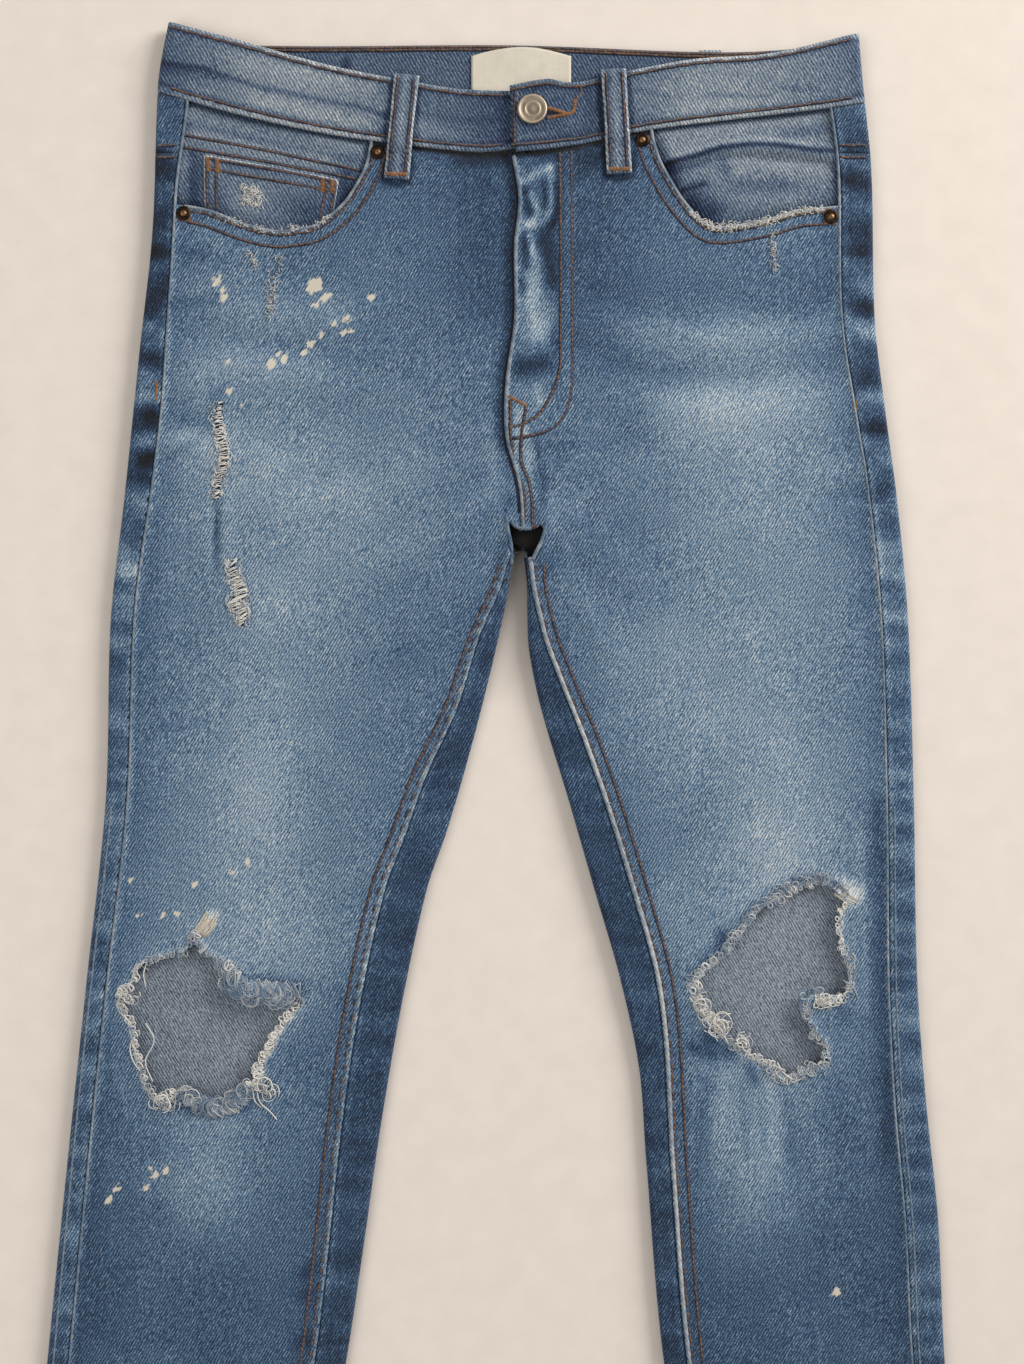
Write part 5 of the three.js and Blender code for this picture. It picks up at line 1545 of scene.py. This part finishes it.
# painted shade: flat dark strips along the rows of stitches, for the channels they press into the cloth; then rolled
# edges: the folded cloth of the scoops, the fly and the inseams, rubbed pale
ropes("stitch_channel_shadows", channelShadeLines, 1.15, lambda x, y: -0.14 + 0.1 * np.sin(x / 3 + y / 4), flat=0.18, sides=4)
ropes("scoop_rolled_edges", [onCloth(line[np.abs(line[:, 0]) < 193], onLeg(side), -0.45)
                             for side, line in ((right, scoopLines["right"]), (left, scoopLines["left"]))],
      0.95, lambda x, y: 0.74 + 0.18 * np.sin(x / 2.3 + y / 1.9) + 0.3 * ramp(x, 100, 112))
y = np.arange(-64, -281, -1.2)
ropes("fly_rolled_edge", [downLeg(left, flyEdge(y) + 0.6, y, -0.3)], 1.15,
      lambda x, y: 0.68 + 0.12 * np.sin(y / 1.4) + 0.12 * np.sin(y / 11))
lips = [([(-2.2, -300), (-2.2, -290), (-4.3, -279), (-4.8, -272.5)], right, 0.9),
        ([(-4.8, -272.5), (1.5, -278.6), (9.5, -279.4)], left, -0.1),
        ([(18.2, -275.2), (17.4, -281), (15.3, -287), (12.6, -292.5), (10.2, -297.5)], left, 0.9)]
ropes("crotch_lips", [onCloth(line, onLeg(side), rise) for line, side, rise in lips], 1.15,
      lambda x, y: 0.42 + 0.12 * np.sin(y / 1.5) + 0.1 * np.sin(y / 5) + 0.35 * ramp(x, 6, 11) * ramp(y, -280, -290))
# each inseam roll's radius in mm and its wear, and the mm from the outseam to its second ridge
seamRolls = {"right": (0.85, 0.78, 8.6), "left": (1.35, 1.0, 3.6)}
shadows = []
for side in (right, left):
    roll, worn, second = seamRolls[side.name]
    y = np.arange(-296, -1030, -1.3)
    inseam = side.inner(y) + side.inStrip(y)
    ropes(f"inseam_ridge_{side.name}", [downLeg(side, inseam + 0.5 + roll, y, 0.15)], roll,
          lambda x, y: worn + 0.1 * np.sin(y / 1.2 + np.sin(y / 7)) + 0.12 * np.sin(y / 23))
    shadows.append(downLeg(side, inseam - 0.9, y, 0.02))
    y = np.arange(-31, -1030, -1.3)
    outseam = side.outer(y) - side.outStrip(y)
    ropes(f"outseam_ridge_{side.name}", [downLeg(side, outseam - 0.9, y, 0.1)], 0.85,
          lambda x, y: 0.7 + 0.1 * np.sin(y / 1.3 + np.sin(y / 9)) + 0.14 * np.sin(y / 17 + 1) - 0.2 * ramp(y, -600,
                                                                                                            -800))
    shadows.append(downLeg(side, outseam + 0.6, y, 0.02))
    below = y < -440
    ropes(f"outseam_second_ridge_{side.name}", [downLeg(side, outseam[below] + second, y[below], 0.0)], 0.6,
          lambda x, y: 0.6 + 0.1 * np.sin(y / 1.3 + np.sin(y / 9)))
y = np.arange(-62, -272, -1.5)
shadows.append(onCloth(np.column_stack([flyEdge(y) - 1.2, y]), onLeg(right), 0.05))
ropes("seam_shadows", shadows, 1.1, lambda x, y: -0.45 + 0.12 * np.sin(y / 6), flat=0.12, sides=4)
# painted shade: a flat near-black disc in the hollow where the legs part, as almost no light gets in between them
drop = np.linspace(0, 1, 16)
ropes("crotch_hollow_shade", [np.column_stack([7.2 - 2.4 * drop**2, -262 - 28.8 * drop, 3 + 0 * drop])],
      11.4 * (1 - 0.42 * drop**3) * np.sqrt(np.clip(1.02 - drop**14, 0.02, 1)), level(-1.5), flat=0.08, sides=16)
print("stitching made")


def outwardOf(line):
    # the unit tangent of a closed outline and the normal that points into the hole
    tangent = np.roll(line, -1, axis=0) - np.roll(line, 1, axis=0)
    tangent /= np.linalg.norm(tangent, axis=1, keepdims=True)
    normal = np.stack([-tangent[:, 1], tangent[:, 0]], axis=1)
    area = np.sum(line[:, 0] * np.roll(line[:, 1], -1) - np.roll(line[:, 0], -1) * line[:, 1])
    return tangent, normal if area > 0 else -normal


fuzzLooks = {
    # how far a fibre turns, its least share of the reach, how far (mm) it starts from the edge, how high it arches
    # and lies, its radius, and the spread and the least of its tint
    "rip": dict(curl=1.4, shortest=0.5, scatter=1.5, arch=1.2, rise=0.15, radius=0.16, spread=0.2, least=-0.2),
    "pocket": dict(curl=1.5, shortest=0.4, scatter=0.9, arch=1.4, rise=0.1, radius=0.2, spread=0.18, least=0),
}


def fuzz(line, height, count, reach, tint, look):
    # fine stray fibres that cross a worn edge in every direction, each bending as it goes
    look = fuzzLooks[look]
    root = line[rng.integers(0, len(line), count)]
    t = np.linspace(0, 1, 6)
    heading = rng.uniform(0, 2 * np.pi, count)[:, None]
    turn = rng.normal(0, look["curl"], count)[:, None]
    size = reach * rng.uniform(look["shortest"], 1.4, count)[:, None]
    start = rng.normal(0, look["scatter"], (count, 2))
    x = root[:, :1] + start[:, :1] + size * t * np.cos(heading + turn * t)
    y = root[:, 1:] + start[:, 1:] + size * t * np.sin(heading + turn * t)
    z = height(*root.T)[:, None] + rng.uniform(0.1, look["arch"], count)[:, None] * np.sin(np.pi * t) + look["rise"]
    tints = np.clip(rng.normal(tint, look["spread"], count), look["least"], 1.2)
    return np.stack([x, y, z], axis=-1), look["radius"], tints


def torn(name, parts, material=paleThread):
    # torn threads of all kinds as one piece
    joinTubes(name, parts, material)


def loopsAlong(side, line, spot, count, size, tint, over=1, inset=0.9):
    # looped yarn standing side by side along an edge: each a teardrop that leaves the edge over the hole
    # (over = 1) or back over the cloth (-1) and returns to where it began, inset mm behind the edge
    x0, y0, reach = spot
    tangent, normal = outwardOf(line)
    at = np.flatnonzero(np.hypot(line[:, 0] - x0, line[:, 1] - y0) < reach)
    spread = (np.linspace(0, 1, count) * (len(at) - 1) + rng.normal(0, 0.7, count)).round().astype(int)
    pick = at[np.clip(spread, 0, len(at) - 1)]
    t = np.linspace(0, 1, 11)
    length = size * rng.uniform(0.65, 1.25, (count, 1))
    width = rng.uniform(0.2, 0.42, (count, 1)) * length
    lean = rng.normal(0, 0.38, (count, 1))
    out = over * (length * np.sin(np.pi * t) - inset) + rng.normal(0, 0.35, (count, 1))
    aside = width * np.sin(2 * np.pi * t) + lean * out + 0.25 * rng.normal(0, 1, (count, 1)) * np.sin(3 * np.pi * t)
    x = line[pick, :1] + normal[pick, :1] * out + tangent[pick, :1] * aside
    y = line[pick, 1:] + normal[pick, 1:] * out + tangent[pick, 1:] * aside
    z = legTop(side, *line[pick].T)[:, None] + rng.uniform(0.2, 1.5, (count, 1)) * np.sin(np.pi * t) + 0.18
    z = z + 0.08 * inset + 0.25 * np.sin(2 * np.pi * t)
    radius = rng.uniform(0.24, 0.42, (count, 1))
    return np.stack([x, y, z], axis=-1), radius, np.clip(rng.normal(tint, 0.24, count), -0.3, 1.3)


def strandsAlong(side, line, tint, every=1.1, length=8.0):
    # the edge's own yarns, twisted loosely along it in short lengths
    count = int(len(line) / every)
    start = rng.integers(0, len(line), count)
    t = np.linspace(0, 1, 8)
    index = (start[:, None] + np.round(length * rng.uniform(0.5, 1.3, (count, 1)) * t).astype(int)) % len(line)
    _, normal = outwardOf(line)
    aside = rng.normal(-0.4, 0.5, (count, 1))
    turns, phase = rng.uniform(0.6, 1.6, (count, 1)), rng.uniform(0, 6, (count, 1))
    aside = aside + 0.5 * np.sin(2 * np.pi * t * turns + phase)
    x = line[index, 0] + normal[index, 0] * aside
    y = line[index, 1] + normal[index, 1] * aside
    z = legTop(side, x, y) + rng.uniform(-0.2, 0.7, (count, 1)) + 0.25 * np.sin(5 * t)
    shade = np.clip(tint(x[:, 0], y[:, 0]) + rng.normal(0, 0.16, count), -0.2, 1.2)
    return np.stack([x, y, z], axis=-1), rng.uniform(0.26, 0.42, (count, 1)), shade


def tangle(x0, y0, reach, count, tint):
    # a knot of long threads: parts of circles of many sizes that cross one another
    t = np.linspace(0, 1, 15)
    centre = rng.normal(0, 0.34 * reach, (count, 2))
    size = reach * rng.uniform(0.25, 0.75, (count, 1))
    angle = rng.uniform(0, 2 * np.pi, (count, 1)) + rng.uniform(2.6, 5.4, (count, 1)) * t
    squash, turn = rng.uniform(0.45, 1, (count, 1)), rng.uniform(0, np.pi, (count, 1))
    u, v = size * np.cos(angle), size * squash * np.sin(angle)
    x = x0 + centre[:, :1] + u * np.cos(turn) - v * np.sin(turn)
    y = y0 + centre[:, 1:] + u * np.sin(turn) + v * np.cos(turn)
    z = slot(np.array(y0))[0] + 0.3 + rng.uniform(0, 2.4, (count, 1)) + 0.6 * np.sin(2 * angle)
    radius = rng.uniform(0.2, 0.34, (count, 1))
    return np.stack([x, y, z], axis=-1), radius, np.clip(rng.normal(tint, 0.32, count), 0, 1.3)


def stray(points, tint):
    # one loose thread laid along the given points, arched over the cloth
    line = smoothLine(points, 0.8)
    t = np.linspace(0, 1, 24)
    line = line[(t * (len(line) - 1)).round().astype(int)]
    return np.column_stack([line, slot(line[:, 1])[0] + 0.3 + np.sin(np.pi * t)])[None], 0.34, [tint]


white, cream, paleBlue, blue = 1.0, 0.88, 0.42, 0.24  # tints from the dyed yarn up to the bare one
# along each rip's edge: where (x, y, reach), how many loops, their size and tint, and over what
ripLoops = {
    "right": [
        ((-149, -551, 20), 92, 12.0, blue, 1, 10.0), ((-135, -552.6, 8.5), 30, 11, blue, 1, 9.5),
        ((-167, -538, 9), 14, 6.5, paleBlue, 1, 3), ((-196, -525, 18), 26, 3.4, paleBlue, 1),
        ((-178, -521, 14), 16, 3.0, paleBlue, 1), ((-224, -545, 12), 18, 4.2, cream, 1),
        ((-220, -570, 18), 20, 3.6, cream, 1), ((-216, -598, 14), 16, 4.0, cream, 1),
        ((-200, -609, 9), 20, 4.6, cream, 1), ((-183, -609, 11), 40, 9.0, blue, 1, 7.0),
        ((-166, -610, 11), 46, 10.0, blue, 1, 7.5), ((-148, -598, 12), 24, 6.0, cream, 1),
        ((-140, -580, 14), 24, 4.8, white, 1), ((-134, -566, 12), 20, 5.0, white, 1),
    ],
    "left": [
        ((172, -486, 20), 44, 5.6, blue, -1), ((158, -489, 14), 26, 4.0, paleBlue, 1),
        ((145, -498, 12), 24, 4.6, paleBlue, -1), ((128, -517, 16), 34, 5.2, blue, -1),
        ((110, -537, 12), 22, 5.0, paleBlue, -1), ((104, -549, 8), 16, 5.2, cream, 1),
        ((112, -562, 10), 30, 5.4, white, 1), ((132, -573, 10), 16, 3.6, paleBlue, 1),
        ((145, -586, 12), 24, 4.0, cream, 1), ((160, -594, 12), 30, 5.0, paleBlue, -1),
        ((178, -590, 9), 16, 4.0, paleBlue, 1), ((178, -572, 12), 18, 4.0, paleBlue, 1),
        ((172, -556, 8), 24, 4.8, blue, 1), ((182, -550, 8), 22, 5.4, white, -1),
        ((191, -535, 14), 20, 4.2, paleBlue, -1), ((189, -512, 14), 18, 3.4, cream, 1),
    ],
}
# how pale the edge's own yarns are along each rip
ripTint = {
    "right": lambda x, y: 0.35 + 0.5 * ramp(-x, 212, 222) + 0.5 * ramp(x, -146, -138) * ramp(y, -556, -562),
    "left": lambda x, y: 0.24 + 0.65 * bell(np.hypot(x - 118, y + 560), 18) + 0.4 * ramp(x, 184, 190),
}
ripTangles = {  # knots of thread at each rip: where, their reach, how many threads, their tint
    "right": [(-203, -613, 7.0, 22, cream), (-144, -603, 7.5, 18, white), (-223, -552, 5.5, 14, cream)],
    "left": [(109, -557, 6.5, 18, cream), (118, -568, 7.5, 26, white), (132, -577, 6, 16, white),
             (180, -553, 5, 12, white)],
}
# loose threads across each rip's edge: the line and the tint
ripStrays = {
    "right": [([(-150, -601), (-148, -611), (-142, -617), (-138, -622)], white),
              ([(-152, -600), (-151, -610), (-147, -615)], white),
              ([(-213, -530), (-215, -537), (-214, -545)], cream),
              ([(-219, -571), (-223, -580), (-220, -590), (-214, -596)], cream),
              ([(-214, -566), (-209, -576), (-214, -588), (-210, -600)], cream)],
    "left": [([(152, -589), (156, -595), (163, -599), (168, -597)], white),
             ([(150, -589), (152, -596), (158, -600)], cream), ([(190, -541), (196, -545), (199, -552)], paleBlue)],
}
for side in (right, left):
    line = ripLines[side.name]
    torn(f"knee_rip_threads_{side.name}", [
        strandsAlong(side, line, ripTint[side.name]), fuzz(line, onLeg(side), 170, 2.2, 0.5, "rip"),
        *[loopsAlong(side, line, *spec) for spec in ripLoops[side.name]],
        *[tangle(*spec) for spec in ripTangles[side.name]],
        *[stray(*spec) for spec in ripStrays[side.name]],
    ])


def weftPatch(side, corner, towards, width, count):
    # bare cotton weft at the top corner of a rip: short threads laid close, side by side
    length, along, across = between(corner, towards)
    t = np.linspace(0, 1, 7)
    offset = np.linspace(-width / 2, width / 2, count)[:, None] + rng.normal(0, 0.2, (count, 1))
    reach = length * rng.uniform(0.55, 1.25, (count, 1)) * t - rng.uniform(0, 3, (count, 1))
    x, y = (corner[k] + along[k] * reach + across[k] * (offset + 0.25 * np.sin(7 * t)) for k in (0, 1))
    z = legTop(side, x, y) + 0.25 + 0.4 * np.sin(np.pi * t)
    return np.stack([x, y, z], axis=-1), 0.25, np.clip(rng.normal(0.8, 0.26, count), 0, 1.3)


torn("bare_weft_patches", [weftPatch(right, (-181.5, -513), (-175.5, -503.5), 8.5, 26),
                           weftPatch(left, (188, -491), (198, -497), 5, 12)], creamWeft)
print("frays made")


# the worn slits on the right thigh: the line down each, its width in mm, how many bars cross it and their slant
ladders = {
    "upper": dict(line=[(-170.5, -206.5), (-171.7, -212), (-171, -225), (-168.2, -234), (-168.8, -244), (-172, -253),
                        (-172.8, -262)], width=5.6, bars=62, slant=0.4),
    "lower": dict(line=[(-162.4, -297), (-163.5, -304.5), (-160.6, -311.5), (-158.3, -318.5), (-163.5, -322),
                        (-157.8, -328), (-159, -335.5)], width=7.0, bars=60, slant=1.2),
}


def ladderThreads(spec):
    # bare weft across a worn slit: near-level bars that bow and cross, with fluff at both ends
    line = smoothLine(spec["line"], 0.5)
    _, normal = directions(line)
    bars, half, end = spec["bars"], spec["width"] / 2, len(line) - 1
    at = np.sort((np.linspace(0, 1, bars) * end + rng.normal(0, 0.9, bars)).clip(0, end)).astype(int)
    t = np.linspace(-1, 1, 9)
    reach = half * (np.sin(np.pi * np.clip(at / len(line), 0.04, 0.96)) ** 0.4)[:, None]
    reach = reach * rng.uniform(0.85, 1.15, (bars, 1))
    bow = rng.normal(0, 0.5, (bars, 1)) * (1 - t**2) + rng.normal(spec["slant"], 0.4, (bars, 1)) * t
    x = line[at, :1] + reach * t + 0.1 * bow
    y = line[at, 1:] + bow
    z = legTop(right, x, y) + 0.25 + 0.7 * rng.uniform(0.1, 1, (bars, 1)) * (1 - t**2)
    weft = np.stack([x, y, z], axis=-1), 0.31 * (1 - 0.25 * t**2), np.clip(rng.normal(1.0, 0.25, bars), 0, 1.3)
    outline = np.vstack([line + normal * half, (line - normal * half)[::-1]])
    edge = strandsAlong(right, outline, level(0.7), 4.0, 5.0)
    return [weft, fuzz(outline, onLeg(right), int(1.6 * bars), 2.0, 0.7, "rip"), edge]


# painted shade: a flat dark strip under the bars of each slit, for the shadowed hole beneath them
ropes("ladder_slit_shade", [onCloth(spec["line"], onLeg(right), 0.02) for spec in ladders.values()], 1.9, level(-0.5),
      flat=0.08, sides=8)
torn("thigh_ladder_threads", ladderThreads(ladders["upper"]) + ladderThreads(ladders["lower"]))

# frayed places round the pockets: the line, whose cloth it is on, how many fibres, their reach in mm, their tint
pocketFrays = [
    ([(-142.3, -130), (-142, -158)], onLeg(right), 60, 1.6, 0.55),
    ([(-136, -120), (-139.2, -150)], onLeg(right), 70, 1.8, 0.5),
    ([(-154, -120), (-150, -127)], onLeg(right), 30, 1.8, 0.7),
    ([(149, -108), (150.5, -130)], onLeg(left), 70, 2.0, 0.6),
    ([(101, -96), (110, -102.4), (119.5, -105.4), (142.7, -102), (163, -96.2), (178, -94.4)], onLeg(left), 420, 1.9,
     0.88),
    ([(-172, -97), (-157, -103.4), (-139.4, -107.2), (-115, -103.4), (-108, -99)], onLeg(right), 110, 1.5, 0.8),
    ([(-159, -82), (-147, -86), (-158, -89), (-148, -92)], coinRelief, 130, 2.6, 0.85),
]
torn("pocket_edge_threads", [fuzz(smoothLine(line, 0.6), *spec, "pocket") for line, *spec in pocketFrays])
print("ladders and pocket edges made")


def turnedMetal(node, profile, segments, at, material, rubbed):
    # a metal piece turned from its profile; rubbed says which points are worn bright
    verts, faces = spunProfile(profile, segments, *at)
    reach = np.hypot(verts[:, 0] - at[0], verts[:, 1] - at[1])
    piece = makePiece(f"{node}_metal", verts, faces, material, {"tint": rubbed(reach, verts[:, 2])})
    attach(piece, "root")
    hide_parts(node)


# a tack button: a dished cap with a rolled rim, an inner ring and a plain centre
seat, cap = 11.3, 8.75  # mm: the height the cap sits at, and its radius
turnedMetal("waist_button", [
    (0, 6.2), (1.6, 6.2), (1.6, seat), (cap - 1.2, seat), (cap - 0.35, seat + 0.15), (cap - 0.05, seat + 0.6),
    (cap - 0.1, seat + 1.1), (cap - 0.55, seat + 1.62), (cap - 1.1, seat + 1.74), (cap - 1.55, seat + 1.55),
    (cap - 1.9, seat + 1.28), (cap - 3.2, seat + 1.2), (cap - 3.9, seat + 1.22), (cap - 4.15, seat + 1.45),
    (cap - 4.5, seat + 1.52), (cap - 4.85, seat + 1.42), (cap - 5.1, seat + 1.18), (cap - 6.2, seat + 1.14),
    (1.8, seat + 1.2), (0.9, seat + 1.32), (0, seat + 1.36),
], 72, buttonAt, nickel, lambda reach, z: np.clip((z - seat - 1.0) / 0.8, 0, 1))
# burred copper rivets: a domed skirt and a bright nub in the middle
burr = 7.5  # mm: the height the skirt sits at
for node, at in rivets.items():
    turnedMetal(node, [
        (0, 4.9), (3, 4.9), (3, 5.7), (0.9, 5.7), (0.9, burr), (4.1, burr), (4.2, burr + 0.25), (3.9, burr + 0.62),
        (3.2, burr + 0.85), (2.5, burr + 0.8), (2.15, burr + 0.55), (1.9, burr + 0.6), (1.7, burr + 1.0),
        (1.3, burr + 1.35), (0.7, burr + 1.5), (0, burr + 1.55),
    ], 32, at, bronze, lambda reach, z: 0.95 * (reach < 1.75) * (z > burr + 0.5))
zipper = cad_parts["fly_zip"]
zipper.data.materials.clear()
zipper.data.materials.append(bronze)
print("metal made")


floorMaterial, tree, shader = newMaterial("cream paper floor")
coords = addNode(tree, "TexCoord").outputs["Object"]
fibre = addNode(tree, "TexNoise", None, Vector=coords, Scale=60.0, Detail=5.0).outputs["Fac"]
paper = mixColours(tree, fibre, "#dad1c9", "#e7ded6")
# painted shadow: the paper is darkened round the crotch, as little light reaches it where the legs part
apart = addNode(tree, "VectorMath", {"operation": "DISTANCE"}, i0=coords,
                i1=place([8, -285, 0])).outputs["Value"]
shade = addNode(tree, "MapRange", None, Value=apart, i1=0.01, i2=0.1, i3=0.3, i4=1.0).outputs[0]
shaded = addNode(tree, "VectorMath", {"operation": "SCALE"}, i0=paper, Scale=shade).outputs[0]
tree.links.new(shaded, shader.inputs["Base Color"])
shader.inputs["Roughness"].default_value = 0.95
floorMesh = bpy.data.meshes.new("floor")
floorMesh.from_pydata([(-3, -3, -0.0004), (3, -3, -0.0004), (3, 3, -0.0004), (-3, 3, -0.0004)], [], [(0, 1, 2, 3)])
floor = bpy.data.objects.new("floor", floorMesh)
floorMesh.materials.append(floorMaterial)
bpy.context.scene.collection.objects.link(floor)

camera = bpy.data.objects.new("camera", bpy.data.cameras.new("camera"))
bpy.context.scene.collection.objects.link(camera)
middle = place([-1.7, -368.3, 0])
cameraHeight, clothHeight, seenWidth = 0.95, 0.006, 0.791  # m; the camera sees this much across at the cloth's height
camera.location = (middle[0], middle[1], cameraHeight)
camera.data.sensor_width = 36
camera.data.lens = 36 * (cameraHeight - clothHeight) / seenWidth
camera.data.clip_start = 0.01
bpy.context.scene.camera = camera


def softLight(name, location, size, power, colour):
    # a round lamp of this size in m and power in W, aimed at the middle of the picture
    data = bpy.data.lights.new(name, "AREA")
    data.shape = "DISK"
    data.size = size
    data.energy = power
    data.color = linear(colour)[:3]
    lamp = bpy.data.objects.new(name, data)
    bpy.context.scene.collection.objects.link(lamp)
    lamp.location = location
    aim = np.array([middle[0], middle[1], 0]) - np.array(location)
    lamp.rotation_euler = mathutils.Vector(aim).to_track_quat("-Z", "Y").to_euler()


print("floor and camera set")
softLight("window", (2.2, 1.7, 1.15), 1.6, 99, "#fffaf4")
softLight("room", (-1.4, -0.3, 1.8), 1.8, 17, "#fff8f0")
world = bpy.data.worlds.new("room light")
bpy.context.scene.world = world
world.use_nodes = True
world.node_tree.nodes["Background"].inputs["Color"].default_value = linear("#f3f1ee")
world.node_tree.nodes["Background"].inputs["Strength"].default_value = 0.45
bpy.context.scene.view_settings.view_transform = "Standard"

print("scene ready")
